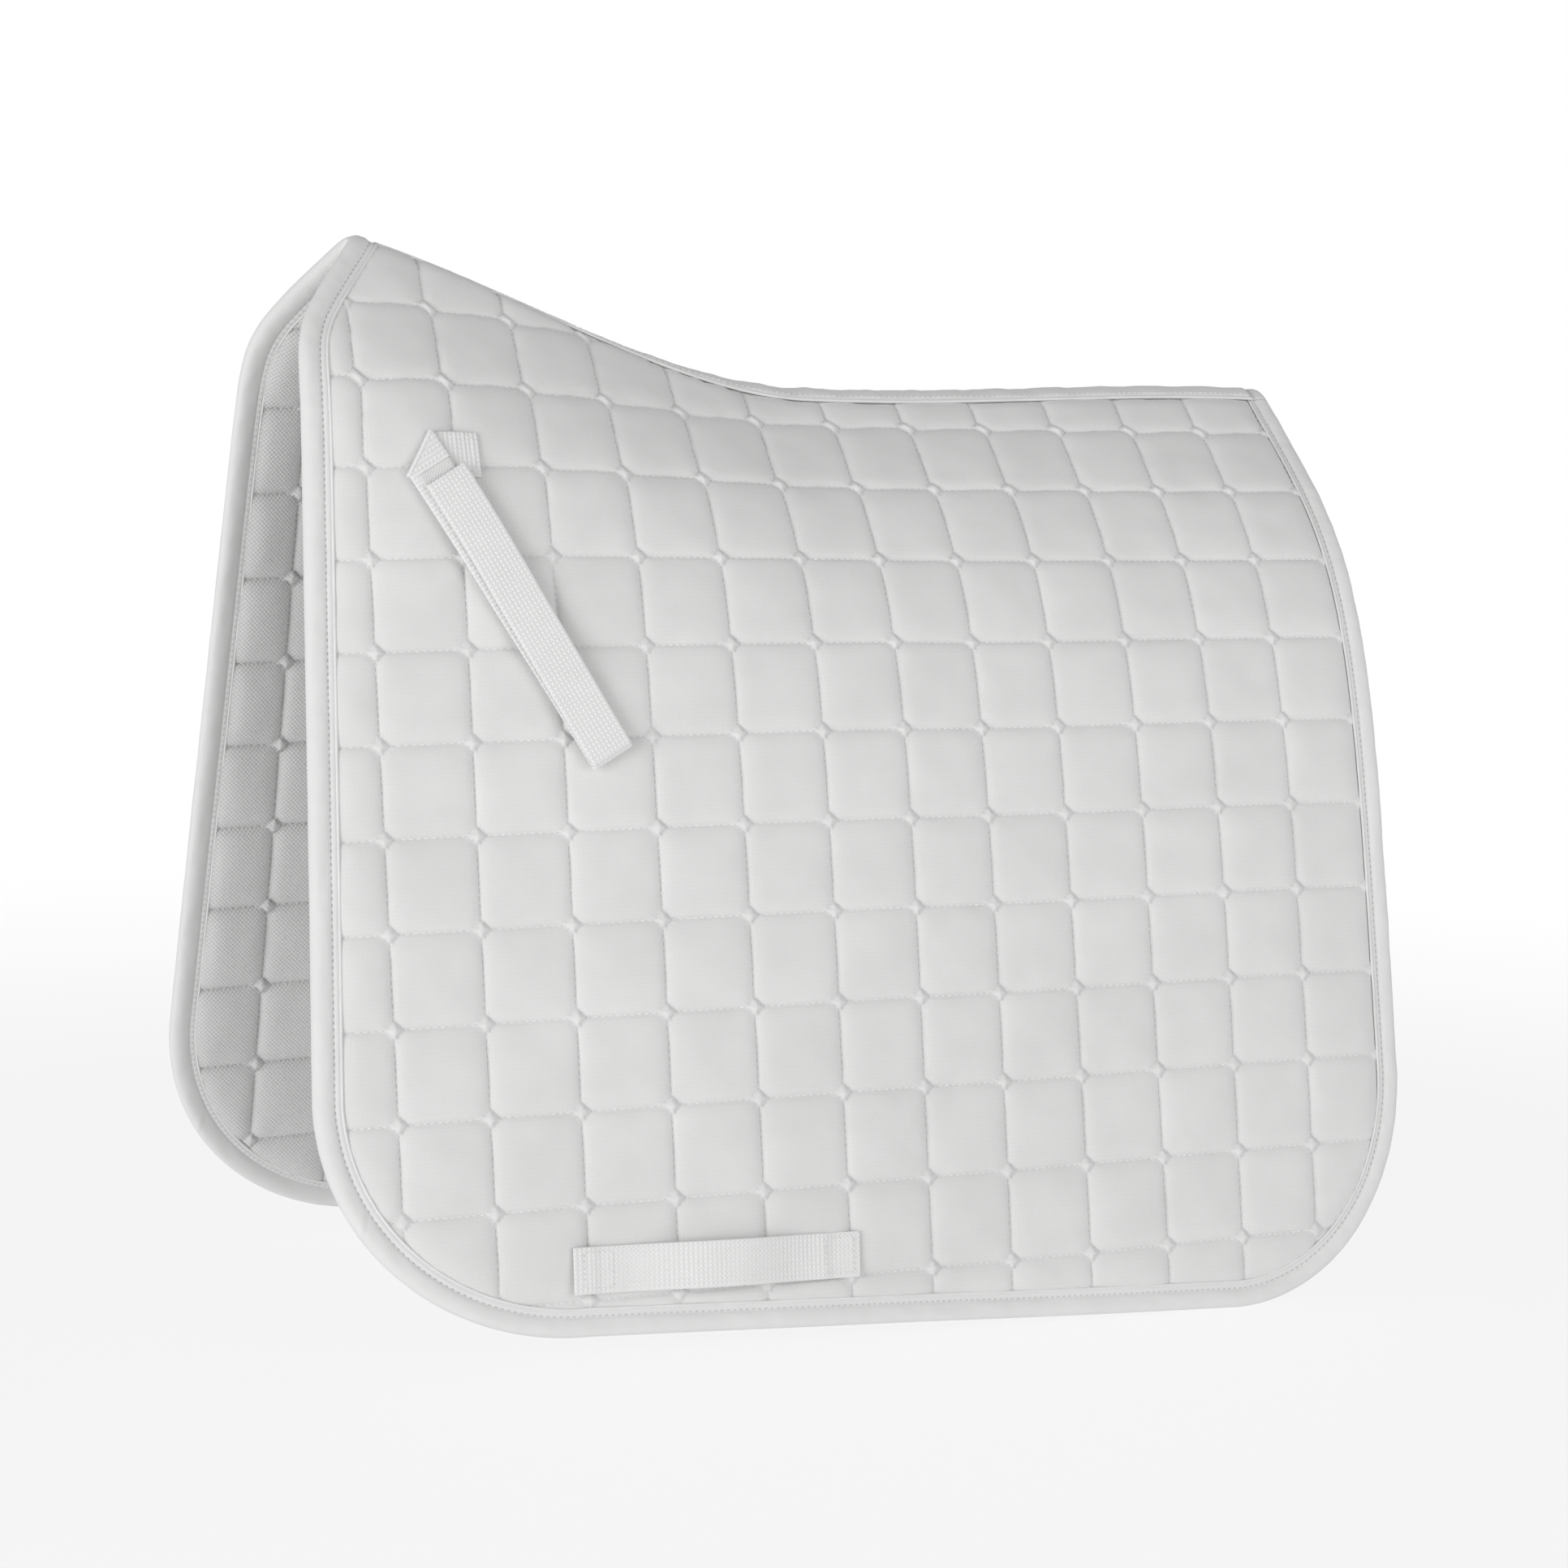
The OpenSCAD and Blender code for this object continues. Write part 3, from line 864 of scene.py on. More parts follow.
def make_panel(side):
    """Shell, lining and wadding of a half, quilted through."""
    u, v, d, quads = panel_grid(side, CELL_STEPS)
    outer = cloth_lift(u, v, side, d)
    inner = -lining_lift(u, v, side, d)
    shell = layered_piece(f"{side}_shell_cloth", side, u, v, quads, outer, outer - CLOTH_T,
                          "shell_cloth")
    lining = layered_piece(f"{side}_lining_cloth", side, u, v, quads, inner + CLOTH_T, inner,
                           "lining_cloth")
    u, v, d, quads = panel_grid(side, COARSE_STEPS, hidden=3.0)
    outer = np.maximum(cloth_lift(u, v, side, d) - CLOTH_T - FILLING_GAP, LEAST_FILLING)
    inner = np.minimum(CLOTH_T + FILLING_GAP - lining_lift(u, v, side, d), -LEAST_FILLING)
    filling = layered_piece(f"{side}_quilt_filling", side, u, v, quads, outer, inner, "wadding")
    for piece, slot, node in ((shell, "shell_cloth", "shell"), (lining, "lining_cloth", "lining"),
                              (filling, "wadding", "wadding")):
        fit(piece, slot, [f"{side}_{node}", f"{side}_upper_{node}"], fold=panel_fold(side))
    return shell, lining, filling


STITCH_L = 2.7
STITCH_GAP = 1.0
# Radius of the quilting thread, and of the finer threads in the binding, spine tape and webbing
THREAD_R = 0.34
BINDING_THREAD_R = 0.24
SPINE_THREAD_R = 0.25
BOX_THREAD_R = 0.3


def stitch_ends(points, length=STITCH_L, gap=STITCH_GAP):
    """Stitches along a line of pattern points: two arrays of [u, v]."""
    reach = running_length(points)
    pitch = length + gap
    count = max(1, int(reach[-1] / pitch))
    first = (np.arange(count) + 0.5) * reach[-1] / count - length / 2
    place = lambda s: np.stack([np.interp(s, reach, points[:, k]) for k in (0, 1)], 1)
    return place(first), place(first + length)


def quilting_lines(offset):
    """The runs of quilting between crossings, and the diamonds' four sides."""
    us = np.arange(-1, 13) * QUILT + offset[0]
    vs = np.arange(-2, 12) * QUILT + offset[1]
    reach = np.linspace(DIAMOND, QUILT - DIAMOND, 40)
    short = np.linspace(0.0, 1.0, 5)
    sides = ((-1, 0, 0, -1), (0, -1, 1, 0), (1, 0, 0, 1), (0, 1, -1, 0))
    for cu in us:
        for cv in vs:
            yield np.stack(from_quilt(cu + reach, cv + 0.0 * reach, offset), 1)
            yield np.stack(from_quilt(cu + 0.0 * reach, cv + reach, offset), 1)
            for fu, fv, tu, tv in sides:
                side_u = cu + DIAMOND * mix(fu, tu, short)
                side_v = cv + DIAMOND * mix(fv, tv, short)
                yield np.stack(from_quilt(side_u, side_v, offset), 1)


def make_quilting_thread(side):
    stitches = [stitch_ends(line) for line in quilting_lines(QUILT_OFFSET[side])]
    ends = [np.concatenate(points) for points in zip(*stitches)]
    clear_of_edge = np.max([edge_distance(*p.T)[0] for p in ends], 0) < -2.2
    clear_of_seam = np.min([p[:, 1] - tape_v(p[:, 0]) for p in ends], 0) > 1.5
    ends = [p[clear_of_edge & clear_of_seam] for p in ends]
    outside = [edge_distance(*p.T)[0] for p in ends]
    points = no_stitches()
    for face, height in ((1, cloth_lift), (-1, lining_lift)):
        lifts = [face * (height(*p.T, side, d) + THREAD_R * 0.9) for p, d in zip(ends, outside)]
        sew(points, side, face, *ends, *lifts)
    thread = thread_piece(f"{side}_quilting_thread", points, THREAD_R * MM)
    return fit(thread, "thread", [], fold=panel_fold(side))


# ---- Binding and piping ----

# Radius of the piping, and its distance outside the outline and lift on each face
PIPING_R = 0.75
PIPING_PLACE = (-1.8, 2.9)
INNER_PIPING_PLACE = (-2.4, -2.7)
# The binding is joined end to end, on a slant, high in the front bottom corner
JOIN_S = 545.0
JOIN_SLANT = 1.05


def binding_rings(s, side):
    """Rings of points round the binding at distances s along the outline."""
    d = BINDING_SECTION[:, 0][None, :]
    lift = np.repeat(BINDING_SECTION[:, 1][None, :], len(s), 0)
    reach = s[:, None]
    puffy = np.clip((d - 2.6) / 2.0, 0.0, 1.0) * np.clip(np.abs(lift) / 2.0, 0.0, 1.0)
    uneven = 0.28 * ripple(reach, d * 2.0, 34.0, 5) + 0.14 * ripple(reach, d * 1.5, 11.0, 6)
    gathers = 0.22 * ripple(reach, d * 0.3, 6.5, 7) * np.exp(-np.maximum(d - 2.0, 0.0) / 3.5)
    calm = smooth(np.minimum(reach, EDGE_LENGTH - reach) / 25.0)
    seam = reach - JOIN_S - (d * JOIN_SLANT)
    join = 0.45 * np.exp(-(seam / 1.3) ** 2) - 0.55 * np.exp(-((seam - 2.2) / 1.1) ** 2)
    hole = (0.5 + 0.5 * np.cos(math.tau * reach / HOLE_PITCH)) ** 2
    stitched = np.zeros(len(BINDING_SECTION))
    for k, share in STITCH_POINTS.items():
        stitched[k] = share
    outward = np.sign(lift)
    lift = lift + outward * puffy * (uneven + gathers + join) * calm
    lift = lift - outward * hole * stitched[None, :] * HOLE_DEPTH * calm
    u, v = edge_place(s[:, None], d)
    return lay(u, v, lift, side)


CORD_TURN = np.arange(8) * math.tau / 8


def cord_rings(s, side, place, radius):
    """Rings of points round a cord that lies at a distance outside the outline and a lift."""
    d = place[0] + radius * np.cos(CORD_TURN)[None, :]
    lift = place[1] + radius * np.sin(CORD_TURN)[None, :]
    u, v = edge_place(s[:, None], d)
    return lay(u, v, np.broadcast_to(lift, u.shape), side)


def make_binding(side):
    flip = side == "right"
    rings = binding_rings(EDGE_S, side)
    binding = tube_piece(f"{side}_edge_binding", rings, "binding_cloth", flip, EDGE_S)
    fit(binding, "binding_cloth", [f"{side}_binding", f"{side}_upper_binding"], fold=panel_fold(side))
    pieces = [binding]
    for name, place in (("piping", PIPING_PLACE), ("inner_piping", INNER_PIPING_PLACE)):
        rings = cord_rings(EDGE_S[::2], side, place, PIPING_R)
        cord = tube_piece(f"{side}_{name}_ridge", rings, "piping_cord", not flip, EDGE_S[::2])
        fit(cord, "piping_cord", [f"{side}_{name}", f"{side}_upper_{name}"], fold=panel_fold(side))
        pieces.append(cord)
    pieces.append(make_binding_thread(side))
    return pieces


def make_binding_thread(side):
    """One stitch between each two needle holes, on both faces."""
    holes = np.arange(8.0, EDGE_LENGTH - 8.0, HOLE_PITCH)
    holes = np.round(holes / HOLE_PITCH) * HOLE_PITCH
    points = no_stitches()
    for face, d, lift in ((1, 2.0, 2.1), (-1, 1.0, 2.3)):
        a = np.stack(edge_place(holes + 0.9, d), 1)
        b = np.stack(edge_place(holes + HOLE_PITCH - 0.9, d), 1)
        sew(points, side, face, a, b, face * lift, face * lift)
    thread = thread_piece(f"{side}_binding_thread", points, BINDING_THREAD_R * MM)
    return fit(thread, "thread", [], fold=panel_fold(side))


def arch_rings(left_end, left_before, steps):
    """Carries a ring of points at the left seam over the spine to its mirror image at the right.
    left_before is the same ring a little lower down, which gives the direction to start in."""
    q = np.linspace(-1.0, 1.0, steps)[:, None]
    run = left_end.mean(0) - left_before.mean(0)
    half = -left_end[:, 1]
    x = left_end.mean(0)[0] / MM
    rise = half * crown(x) * tape_share(x) / TAPE_HALF
    back = rise * run[0] / max(run[2], 1e-9)
    x = left_end[:, 0] + back * (1 - q * q)
    y = half * q
    z = left_end[:, 2] + rise * (1 - q * q)
    return np.stack([x, y, z], -1)


def make_arch(name, end, section, material):
    """The part of the binding or piping that runs over the spine at the pad's front or rear."""
    near, after = (0.0, 4.0) if end == "front" else (EDGE_LENGTH, EDGE_LENGTH - 4.0)
    rings = arch_rings(section(np.array([near]))[0], section(np.array([after]))[0], 25)
    arch = tube_piece(f"{end}_{name}", rings, material, end == "front", np.linspace(0.0, 40.0, 25))
    return fit(arch, material, [], body="spine")


# ---- Spine ----

SPINE_FRONT_X = float(EDGE[0, 0]) - HALF_LEN + 1.5
SPINE_REAR_X = REAR_U - HALF_LEN - 0.5
# Half width of the tapes and of the core, as a share of the arch between the seams
TAPE_REACH = 0.93
CORE_REACH = 0.9
# Lifts of the base and top of each, and the share of them that is left at the withers
TAPE_LIFTS = (3.8, 4.9)
LINING_TAPE_LIFTS = (-4.9, -3.8)
CORE_LIFTS = (-3.0, 3.4)
THIN_END = 0.62
TAPE_WRINKLE = 0.3


def spine_layer(name, lifts, reach, material, node, wrinkle=0.0):
    """A strip along the spine between two lifts, which gets thinner where it gets narrower."""
    x = np.linspace(SPINE_FRONT_X, SPINE_REAR_X, 300)
    q = np.linspace(-reach, reach, 17)
    grid_x, grid_q = np.meshgrid(x, q, indexing="ij")
    share = tape_share(grid_x)
    flat = mix(THIN_END, 1.0, share)
    fall = 1 - (grid_q / reach) ** 8
    folds = ripple(grid_x, grid_q * 9, 26.0, 3) + 0.5 * ripple(grid_x, grid_q * 6, 9.0, 4)
    soft = wrinkle * folds * fall
    base, top = (spine_place(grid_x, grid_q * share, lift * flat + soft).reshape(-1, 3) * MM
                 for lift in lifts)
    piece = two_layers(name, top, base, grid_quads(len(x), len(q)), "left", material,
                       grid_uv(grid_x, grid_q * TAPE_HALF))
    return fit(piece, material, [node], body="spine")


SEAM_CORD_R = 0.95


def spine_cord(side):
    """The thin raised line where the tape meets a half."""
    x = np.linspace(SPINE_FRONT_X - 1.0, SPINE_REAR_X + 1.0, 300)
    share = tape_share(x)
    centre = spine_place(x, -MIRROR[side] * share, mix(2.6, 4.2, share)) * MM
    ring = np.stack([0 * CORD_TURN, np.cos(CORD_TURN), np.sin(CORD_TURN)], 1) * SEAM_CORD_R * MM
    rings = centre[:, None, :] + ring[None]
    cord = tube_piece(f"{side}_seam_ridge", rings, "piping_cord", False, x)
    return fit(cord, "piping_cord", [f"{side}_spine_piping"], body="spine")


# Where the rows of stitches run, as a share of the tape's half width, and their lift
TAPE_ROWS = (-0.8, 0.8)
TAPE_STITCH_LIFT = 5.1


def spine_thread():
    """A row of stitches along each edge of the tape."""
    holes = np.arange(SPINE_FRONT_X + 5, SPINE_REAR_X - 6, STITCH_L + STITCH_GAP)
    points = no_stitches()
    for edge in TAPE_ROWS:
        share = tape_share(holes)
        lift = TAPE_STITCH_LIFT * mix(THIN_END, 1.0, share)
        points["from"].append(spine_place(holes + 0.5, edge * share, lift) * MM)
        points["to"].append(spine_place(holes + 0.5 + STITCH_L, edge * share, lift) * MM)
        foot, head = (spine_place(holes, edge * share, lift + up) for up in (0, 1))
        points["up"].append(head - foot)
    thread = thread_piece("spine_tape_thread", points, SPINE_THREAD_R * MM)
    return fit(thread, "thread", ["spine_stitching"], body="spine")


# ---- Webbing ----

RIB_PITCH = 2.5
COLUMN_PITCH = 2.4
BEAD_PITCH = 2.6
RIB_DEPTH = 0.4
# Square of the share of its thickness that webbing keeps at its edges
THIN_EDGE = 0.3


def cross_ribs(along, across):
    """Ribs across the webbing, every second one beaded."""
    phase = along / RIB_PITCH
    rib = np.abs(np.sin(math.pi * phase)) ** 0.8
    beaded = np.floor(phase) % 2 == 0
    bead = 0.55 + 0.45 * np.cos(math.tau * across / RIB_PITCH)
    return rib * np.where(beaded, bead, 0.85) - 0.5


def beaded_ribs(along, across):
    """Ribs across the webbing, each a row of small beads."""
    rib = np.abs(np.sin(math.pi * along / RIB_PITCH)) ** 0.8
    bead = 0.6 + 0.4 * np.cos(math.tau * across / RIB_PITCH)
    return rib * bead - 0.5


def long_columns(along, across):
    """Columns of long beads along the webbing, staggered from one column to the next."""
    phase = across / COLUMN_PITCH
    column = np.abs(np.sin(math.pi * phase)) ** 0.8
    shift = (np.floor(phase) % 2) * 0.5
    bead = 0.5 + 0.5 * np.cos(math.tau * (along / BEAD_PITCH + shift))
    plain = smooth((np.abs(across) - 7.5) / 2.0)
    return column * mix(0.35 + 0.65 * bead, 0.75, plain * 0.6) - 0.5


def webbing_half(edge):
    """Half thickness of webbing; edge is 0 at its edges and 1 from a little inside them."""
    return WEBBING_T / 2 * np.sqrt(mix(THIN_EDGE, 1.0, edge))


def webbing_piece(name, side, place, lift, weave, length, finer, material="webbing"):
    """A length of webbing. place(t, w) gives pattern points for t from 0 to 1 along it and w across,
    with each point's distance along; lift(t, w) is the lift of its middle."""
    pitch_along, pitch_across = finer
    t = np.linspace(0.0, 1.0, int(length / pitch_along) + 1)
    w = np.linspace(-WEBBING_W / 2, WEBBING_W / 2, int(WEBBING_W / pitch_across) + 1)
    grid_t, grid_w = np.meshgrid(t, w, indexing="ij")
    u, v, along = place(grid_t, grid_w)
    edge = np.clip((WEBBING_W / 2 - np.abs(grid_w)) / 0.9, 0.0, 1.0)
    half = webbing_half(edge)
    relief = RIB_DEPTH * weave(along, grid_w) * edge
    middle = lift(grid_t, grid_w)
    quads = grid_quads(len(t), len(w))
    if np.cross(*(np.array([u[1, 0] - u[0, 0], v[1, 0] - v[0, 0]]),
                  np.array([u[0, 1] - u[0, 0], v[0, 1] - v[0, 0]]))) > 0:
        quads = quads[:, ::-1]
    uv = grid_uv(along, grid_w)
    return layered_piece(name, side, u.ravel(), v.ravel(), quads, (middle + half + relief).ravel(),
                         (middle - half - relief * 0.6).ravel(), material, uv)


STRAP_DIR = (STRAP_END - STRAP_FOLD) / np.linalg.norm(STRAP_END - STRAP_FOLD)
STRAP_SIDE = np.array([STRAP_DIR[1], -STRAP_DIR[0]])
FOLD_DIR = (STRAP_DIR - [1.0, 0.0]) / np.linalg.norm(STRAP_DIR - [1.0, 0.0])
FOLD_SKEW = FOLD_DIR[0] / FOLD_DIR[1]
TAIL_START = 16.0
TAIL_SHIFT = 3.6
FINE = (0.37, 0.55)
LONG = (0.62, 0.44)


def strip_point(start, ahead, across, s, w):
    """Pattern point at s along a straight strip and w across it."""
    return [start[k] + ahead[k] * s + across[k] * w for k in (0, 1)]


def strap_point(s, w):
    return strip_point(STRAP_FOLD, STRAP_DIR, STRAP_SIDE, s, w)


def strap_hump(s):
    """The strap lies loosely: it stands a little off the quilting."""
    return 0.5 * np.sin(s / 31.0) ** 2 * smooth((STRAP_L - s) / 20.0) * smooth(s / 20.0)


def make_anchor(side):
    def place(t, w):
        u = mix(STRAP_FOLD[0] + w * FOLD_SKEW, ANCHOR_END_U, t)
        return u, STRAP_FOLD[1] + w, u

    def lift(t, w):
        return ANCHOR_LIFT - 0.8 * smooth((t - 0.45) / 0.5)

    anchor = webbing_piece(f"{side}_anchor_webbing", side, place, lift, cross_ribs, 40.0, FINE)
    return fit(anchor, "webbing", [f"{side}_strap_anchor"], body=side + "_flap")


def make_strap(side):
    def place(t, w):
        s = mix(w * FOLD_SKEW, STRAP_L, t)
        return *strap_point(s, w), s

    def lift(t, w):
        return STRAP_LIFT + strap_hump(t * STRAP_L)

    strap = webbing_piece(f"{side}_strap_webbing", side, place, lift, cross_ribs, STRAP_L, FINE)
    return fit(strap, "webbing", [f"{side}_strap"], body=side + "_strap")


def make_tail(side):
    def place(t, w):
        s = mix(TAIL_START, STRAP_L, t)
        return *strap_point(s, w + TAIL_SHIFT * (1 - smooth(t))), s

    def lift(t, w):
        s = mix(TAIL_START, STRAP_L, t)
        hem = 0.5 * smooth((TAIL_START + 12.0 - s) / 2.5)
        return TAIL_LIFT + strap_hump(s) + hem

    tail = webbing_piece(f"{side}_tail_webbing", side, place, lift, long_columns, STRAP_L - TAIL_START,
                         LONG, "tail_webbing")
    return fit(tail, "webbing", [f"{side}_strap_tail"], body=side + "_strap_tail")


def half_turn(name, side, centre, outwards, across, low, high, bodies):
    """A half-round turn of webbing between two lifts. centre is a pattern point, outwards the
    direction that the turn bulges in, and across the direction and half width of its line."""
    phi = np.linspace(-math.pi / 2, math.pi / 2, 17)
    w = np.linspace(-1.0, 1.0, 42)
    grid_p, grid_w = np.meshgrid(phi, w, indexing="ij")
    middle, radius = (low + high) / 2, (high - low) / 2
    edge = np.clip((1 - np.abs(grid_w)) * 14.0, 0.0, 1.0)
    half = webbing_half(edge)
    relief = 0.5 * RIB_DEPTH * cross_ribs(grid_p * radius, grid_w * WEBBING_W / 2) * edge
    layers = []
    for offset in (half + relief, -half):
        reach = (radius + offset) * np.cos(grid_p)
        lift = middle + (radius + offset) * np.sin(grid_p)
        u = centre[0] + across[0] * grid_w + outwards[0] * reach
        v = centre[1] + across[1] * grid_w + outwards[1] * reach
        layers.append(lay(u, v, lift, side).reshape(-1, 3))
    quads = grid_quads(len(phi), len(w))
    if across[0] * outwards[1] - across[1] * outwards[0] > 0:
        quads = quads[:, ::-1]
    uv = grid_uv(grid_p * radius, grid_w * WEBBING_W / 2)
    piece = two_layers(name, *layers, quads, side, "webbing", uv)
    start, end = (Vector(lay(*centre, lift, side)) for lift in (low, high))
    return fit(piece, "webbing", [], fold=(*bodies, start, end))


def make_turns(side):
    run = WEBBING_W / 2 / math.sin(math.acos(-FOLD_DIR[0]))
    away = -np.array([FOLD_DIR[1], -FOLD_DIR[0]])
    half_turn(f"{side}_strap_fold", side, STRAP_FOLD, away, FOLD_DIR * run, ANCHOR_LIFT, STRAP_LIFT,
              (side + "_flap", side + "_strap"))
    end = STRAP_FOLD + STRAP_DIR * STRAP_L
    half_turn(f"{side}_strap_turn", side, end, STRAP_DIR, STRAP_SIDE * WEBBING_W / 2, STRAP_LIFT,
              TAIL_LIFT, (side + "_strap", side + "_strap_tail"))


PATCH_HALF_W = 10.0
PATCH_T = 0.7
# Where each patch starts and ends along the strap
HOOK_RUN = (9.0, 96.0)
LOOP_PATCH_RUN = (22.0, 90.0)


def patch_piece(name, side, from_s, to_s, lift, shift, material):
    """A rounded strip of hook or loop tape on the strap."""
    s = np.linspace(from_s, to_s, 90)
    w = np.linspace(-PATCH_HALF_W, PATCH_HALF_W, 31)
    grid_s, grid_w = np.meshgrid(s, w, indexing="ij")
    rim = np.minimum(PATCH_HALF_W - np.abs(grid_w), np.minimum(grid_s - from_s, to_s - grid_s))
    half = PATCH_T / 2 * np.sqrt(mix(0.25, 1.0, np.clip(rim, 0.0, 1.0)))
    middle = lift + strap_hump(grid_s)
    across = grid_w + shift(grid_s)
    u, v = strap_point(grid_s, across)
    quads = grid_quads(len(s), len(w))
    uv = grid_uv(grid_s, grid_w)
    return layered_piece(name, side, u.ravel(), v.ravel(), quads, (middle + half).ravel(),
                         (middle - half).ravel(), material, uv)


def make_patches(side):
    hook = patch_piece(f"{side}_hook_tape", side, *HOOK_RUN, HOOK_LIFT, lambda s: 1.6 + 0 * s,
                       "hook_tape")
    fit(hook, "hook_tape", [f"{side}_hook_patch"], body=side + "_strap")
    slide = lambda s: TAIL_SHIFT * (1 - smooth((s - TAIL_START) / (STRAP_L - TAIL_START)))
    loop = patch_piece(f"{side}_loop_tape", side, *LOOP_PATCH_RUN, LOOP_PATCH_LIFT, slide, "loop_tape")
    fit(loop, "loop_tape", [f"{side}_loop_patch"], body=side + "_strap_tail")


LOOP_L = float(np.linalg.norm(LOOP_END - LOOP_START))
LOOP_DIR = (LOOP_END - LOOP_START) / LOOP_L
LOOP_SIDE = np.array([-LOOP_DIR[1], LOOP_DIR[0]])
LOOP_SEWN = 0.16
LOOP_BOW = 6.5
LOOP_HEM = 0.9


def loop_lift(t, w=0.0):
    """Sewn flat at both ends, with the front end folded under, and bowed between."""
    arch = smooth((t - LOOP_SEWN) / 0.30) * smooth((1 - LOOP_SEWN - t) / 0.30)
    hem = LOOP_HEM * smooth((0.10 - t) / 0.04)
    settle = -1.2 * smooth((t - 0.86) / 0.05)
    return ANCHOR_LIFT + LOOP_BOW * arch + hem + settle + 0.25 * np.sin(t * 14.0 + w * 0.1)


def loop_place(t, w):
    along = t * LOOP_L
    return *strip_point(LOOP_START, LOOP_DIR, LOOP_SIDE, along, w), along


def make_girth_loop(side):
    loop = webbing_piece(f"{side}_girth_webbing", side, loop_place, loop_lift, beaded_ribs, LOOP_L, FINE,
                         "tail_webbing")
    return fit(loop, "webbing", [f"{side}_girth_loop"], body=side + "_flap")


def thread_box(name, side, corners_list, lift_at, node):
    """Rows of stitches round rectangles on the webbing."""
    points = no_stitches()
    for corners in corners_list:
        ring = np.array(list(corners) + [corners[0]])
        for p, q in zip(ring[:-1], ring[1:]):
            a, b = stitch_ends(np.array([p, q]), 2.2, 0.8)
            sew(points, side, 1, a, b, lift_at(*a.T), lift_at(*b.T))
    thread = thread_piece(name, points, BOX_THREAD_R * MM)
    return fit(thread, "thread", [node], body=side + "_flap")


def make_webbing_thread(side):
    half_h = WEBBING_W / 2 - 3.5
    top, low = STRAP_FOLD[1] - half_h, STRAP_FOLD[1] + half_h
    near, far = ANCHOR_END_U - 10, ANCHOR_END_U - 3
    box = [(near, top), (far, top), (far, low), (near, low)]
    thread_box(f"{side}_anchor_thread", side, [box], lambda u, v: np.full(u.shape, ANCHOR_LIFT + 0.05),
               f"{side}_anchor_stitching")

    def lift_at(u, v):
        t = ((u - LOOP_START[0]) * LOOP_DIR[0] + (v - LOOP_START[1]) * LOOP_DIR[1]) / LOOP_L
        return loop_lift(t) + WEBBING_T / 2 + 0.12

    half = WEBBING_W / 2 - 3.0
    boxes = [[loop_place(t, w)[:2] for t, w in ((a, -half), (b, -half), (b, half), (a, half))]
             for a, b in ((0.03, 0.13), (0.87, 0.975))]
    thread_box(f"{side}_girth_thread", side, boxes, lift_at, f"{side}_girth_loop_stitching")


# ---- Assembly ----

for end in ("front", "rear"):
    make_arch("arch_binding", end, lambda s: binding_rings(s, "left"), "binding_cloth")
    for name, place in (("arch_piping", PIPING_PLACE), ("arch_inner_piping", INNER_PIPING_PLACE)):
        make_arch(name, end, lambda s, p=place: cord_rings(s, "left", p, PIPING_R), "piping_cord")

spine_layer("spine_seam_filling", CORE_LIFTS, CORE_REACH, "wadding", "spine_core")
spine_layer("spine_tape_cloth", TAPE_LIFTS, TAPE_REACH, "binding_cloth", "spine_tape", TAPE_WRINKLE)
spine_layer("spine_lining_cloth", LINING_TAPE_LIFTS, TAPE_REACH, "lining_cloth", "spine_lining_tape",
            TAPE_WRINKLE)
spine_thread()

for side in SIDES:
    spine_cord(side)
    shell, lining, filling = make_panel(side)
    thread = make_quilting_thread(side)
    edging = make_binding(side)
    make_anchor(side)
    make_strap(side)
    make_tail(side)
    make_turns(side)
    make_patches(side)
    make_girth_loop(side)
    make_webbing_thread(side)
    area = pattern_area()
    flat_size()
    flat_size()

# ---- Floor, light and camera ----

FLOOR_R = 3.0
FLOOR_SIDES = 96
FLOOR_GREY = (0.9, 0.9, 0.9, 1.0)
# The floor's cover at its middle, and where its fade starts and ends, in metres from there
FLOOR_COVER = 0.16
FLOOR_FADE = (0.5, 2.2)


def set_range(node, *limits):
    """Sets what a Map Range node maps from and to."""
    for socket, value in zip(("From Min", "From Max", "To Min", "To Max"), limits):
        node.inputs[socket].default_value = value


def make_floor():
    """A pale round floor that fades out into the background."""
    low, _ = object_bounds()
    mesh = bpy.data.meshes.new("studio_floor")
    turns = np.linspace(0, math.tau, FLOOR_SIDES + 1)[:-1]
    ring = [(FLOOR_R * math.cos(a), FLOOR_R * math.sin(a), 0.0) for a in turns]
    mesh.from_pydata(ring, [], [list(range(FLOOR_SIDES))])
    floor = bpy.data.objects.new("studio_floor", mesh)
    floor.location = (0.0, 0.0, low.z - 0.001)
    bpy.context.scene.collection.objects.link(floor)
    n = Nodes("studio_floor")
    n.shader.inputs["Base Color"].default_value = FLOOR_GREY
    n.shader.inputs["Roughness"].default_value = 0.9
    place = n.add("TexCoord").outputs["Object"]
    length = n.add("VectorMath", operation="LENGTH")
    n.link(place, length.inputs[0])
    fade = n.add("MapRange", interpolation_type="SMOOTHSTEP")
    set_range(fade, *FLOOR_FADE, FLOOR_COVER, 0.0)
    n.link(length.outputs["Value"], fade.inputs["Value"])
    n.link(fade.outputs[0], n.shader.inputs["Alpha"])
    mesh.materials.append(n.material)


LIGHT_FROM_BELOW = 0.79
LIGHT_FROM_ABOVE = 0.29


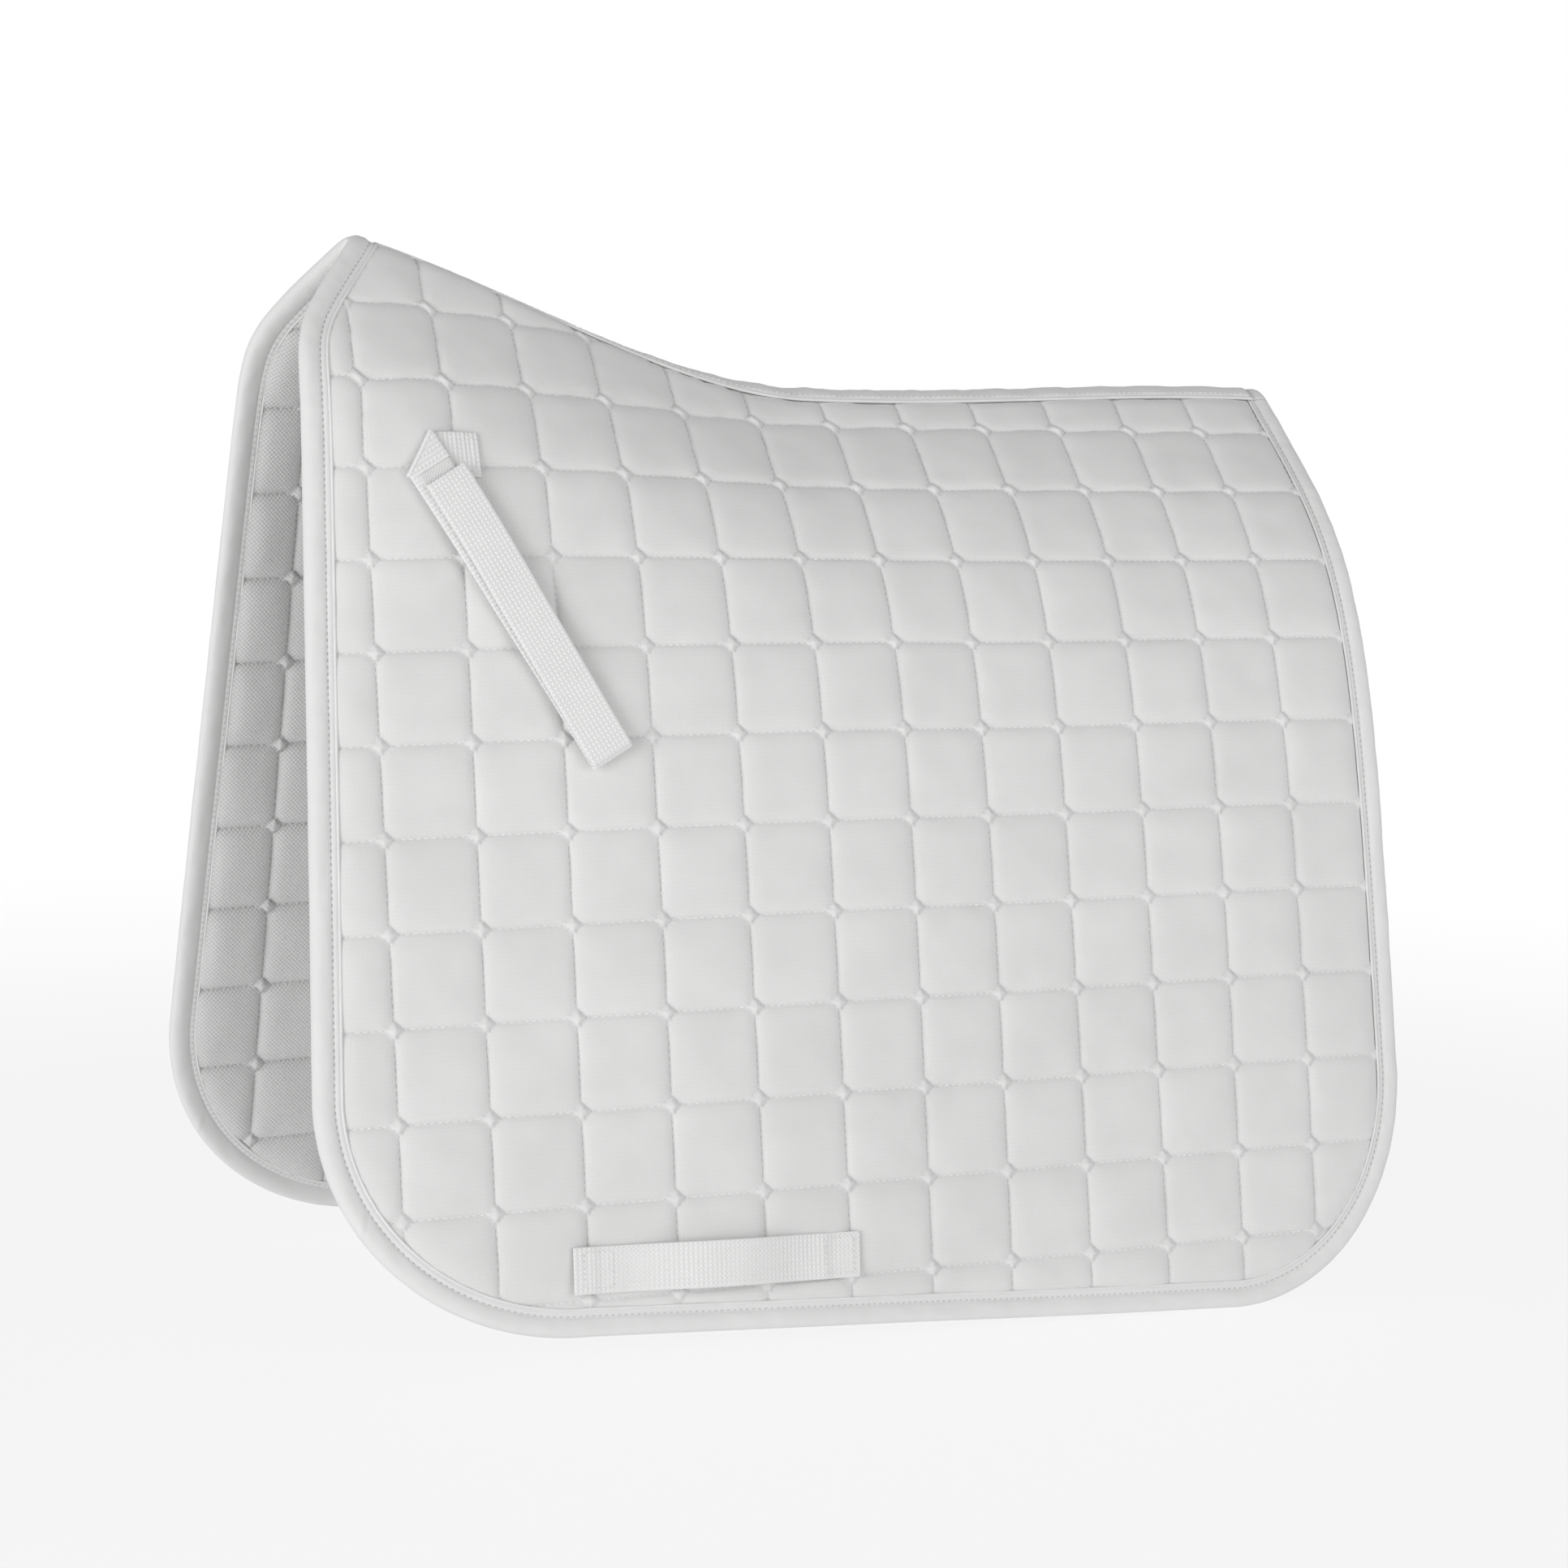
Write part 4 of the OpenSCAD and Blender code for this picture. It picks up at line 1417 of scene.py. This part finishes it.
def make_world():
    """White background that lights the object less than it shows, and mostly from below,
    as a white studio sweep does."""
    world = bpy.data.worlds.new("studio")
    world.use_nodes = True
    bpy.context.scene.world = world
    nodes, link = world.node_tree.nodes, world.node_tree.links.new
    seen = nodes["Background"]
    seen.inputs["Strength"].default_value = 1.0
    lit, place, split, height, path, either = (
        nodes.new("ShaderNode" + kind)
        for kind in ("Background", "TexCoord", "SeparateXYZ", "MapRange", "LightPath", "MixShader"))
    for background in (seen, lit):
        background.inputs["Color"].default_value = (1.0, 1.0, 1.0, 1.0)
    link(place.outputs["Generated"], split.inputs[0])
    set_range(height, -1.0, 1.0, LIGHT_FROM_BELOW, LIGHT_FROM_ABOVE)
    link(split.outputs["Z"], height.inputs["Value"])
    link(height.outputs[0], lit.inputs["Strength"])
    sources = (path.outputs["Is Camera Ray"], lit.outputs[0], seen.outputs[0])
    for source, socket in zip(sources, either.inputs):
        link(source, socket)
    link(either.outputs[0], nodes["World Output"].inputs["Surface"])


def direction(azimuth, elevation):
    """Unit vector from the pad towards an azimuth (0 is straight left) and elevation in radians."""
    level = math.cos(elevation)
    return Vector((math.sin(azimuth) * level, -math.cos(azimuth) * level, math.sin(elevation)))


LIGHT_TARGET = Vector((0.0, -0.1, -0.22))
LIGHT_SIZE = 2.2


def make_light(name, azimuth, elevation, distance, energy):
    """A square soft light that faces the pad."""
    data = bpy.data.lights.new(name, "AREA")
    data.size = LIGHT_SIZE
    data.energy = energy
    light = bpy.data.objects.new(name, data)
    back = direction(math.radians(azimuth), math.radians(elevation))
    light.location = LIGHT_TARGET + back * distance
    light.rotation_euler = (-back).to_track_quat("-Z", "Y").to_euler()
    bpy.context.scene.collection.objects.link(light)


CAMERA_AZIMUTH = 25.987
CAMERA_ELEVATION = 4.931
CAMERA_ROLL = 1.544
CAMERA_DISTANCE = 1.913
CAMERA_TARGET = Vector((-0.03936, -0.060, -0.21886))
CAMERA_LENS = 76.28


def make_camera():
    """Looks at the pad from its left side, from a little in front and above."""
    data = bpy.data.cameras.new("camera")
    data.lens = CAMERA_LENS
    data.sensor_width = 36.0
    data.clip_start = 0.05
    data.clip_end = 50.0
    camera = bpy.data.objects.new("camera", data)
    a, e, roll = (math.radians(x) for x in (CAMERA_AZIMUTH, CAMERA_ELEVATION, CAMERA_ROLL))
    forward = -direction(-a, e)
    level = Vector((math.cos(a), -math.sin(a), 0.0))
    upright = level.cross(forward)
    right = level * math.cos(roll) + upright * math.sin(roll)
    up = upright * math.cos(roll) - level * math.sin(roll)
    turn = Matrix((right, up, -forward)).transposed().to_4x4()
    camera.matrix_world = Matrix.Translation(CAMERA_TARGET - forward * CAMERA_DISTANCE) @ turn
    bpy.context.scene.collection.objects.link(camera)
    bpy.context.scene.camera = camera


make_floor()
make_world()
make_light("key", azimuth=-66.0, elevation=4.0, distance=3.8, energy=62.0)
make_light("fill", azimuth=25.0, elevation=10.0, distance=3.2, energy=22.0)
make_camera()
bpy.context.scene.view_settings.view_transform = "Standard"
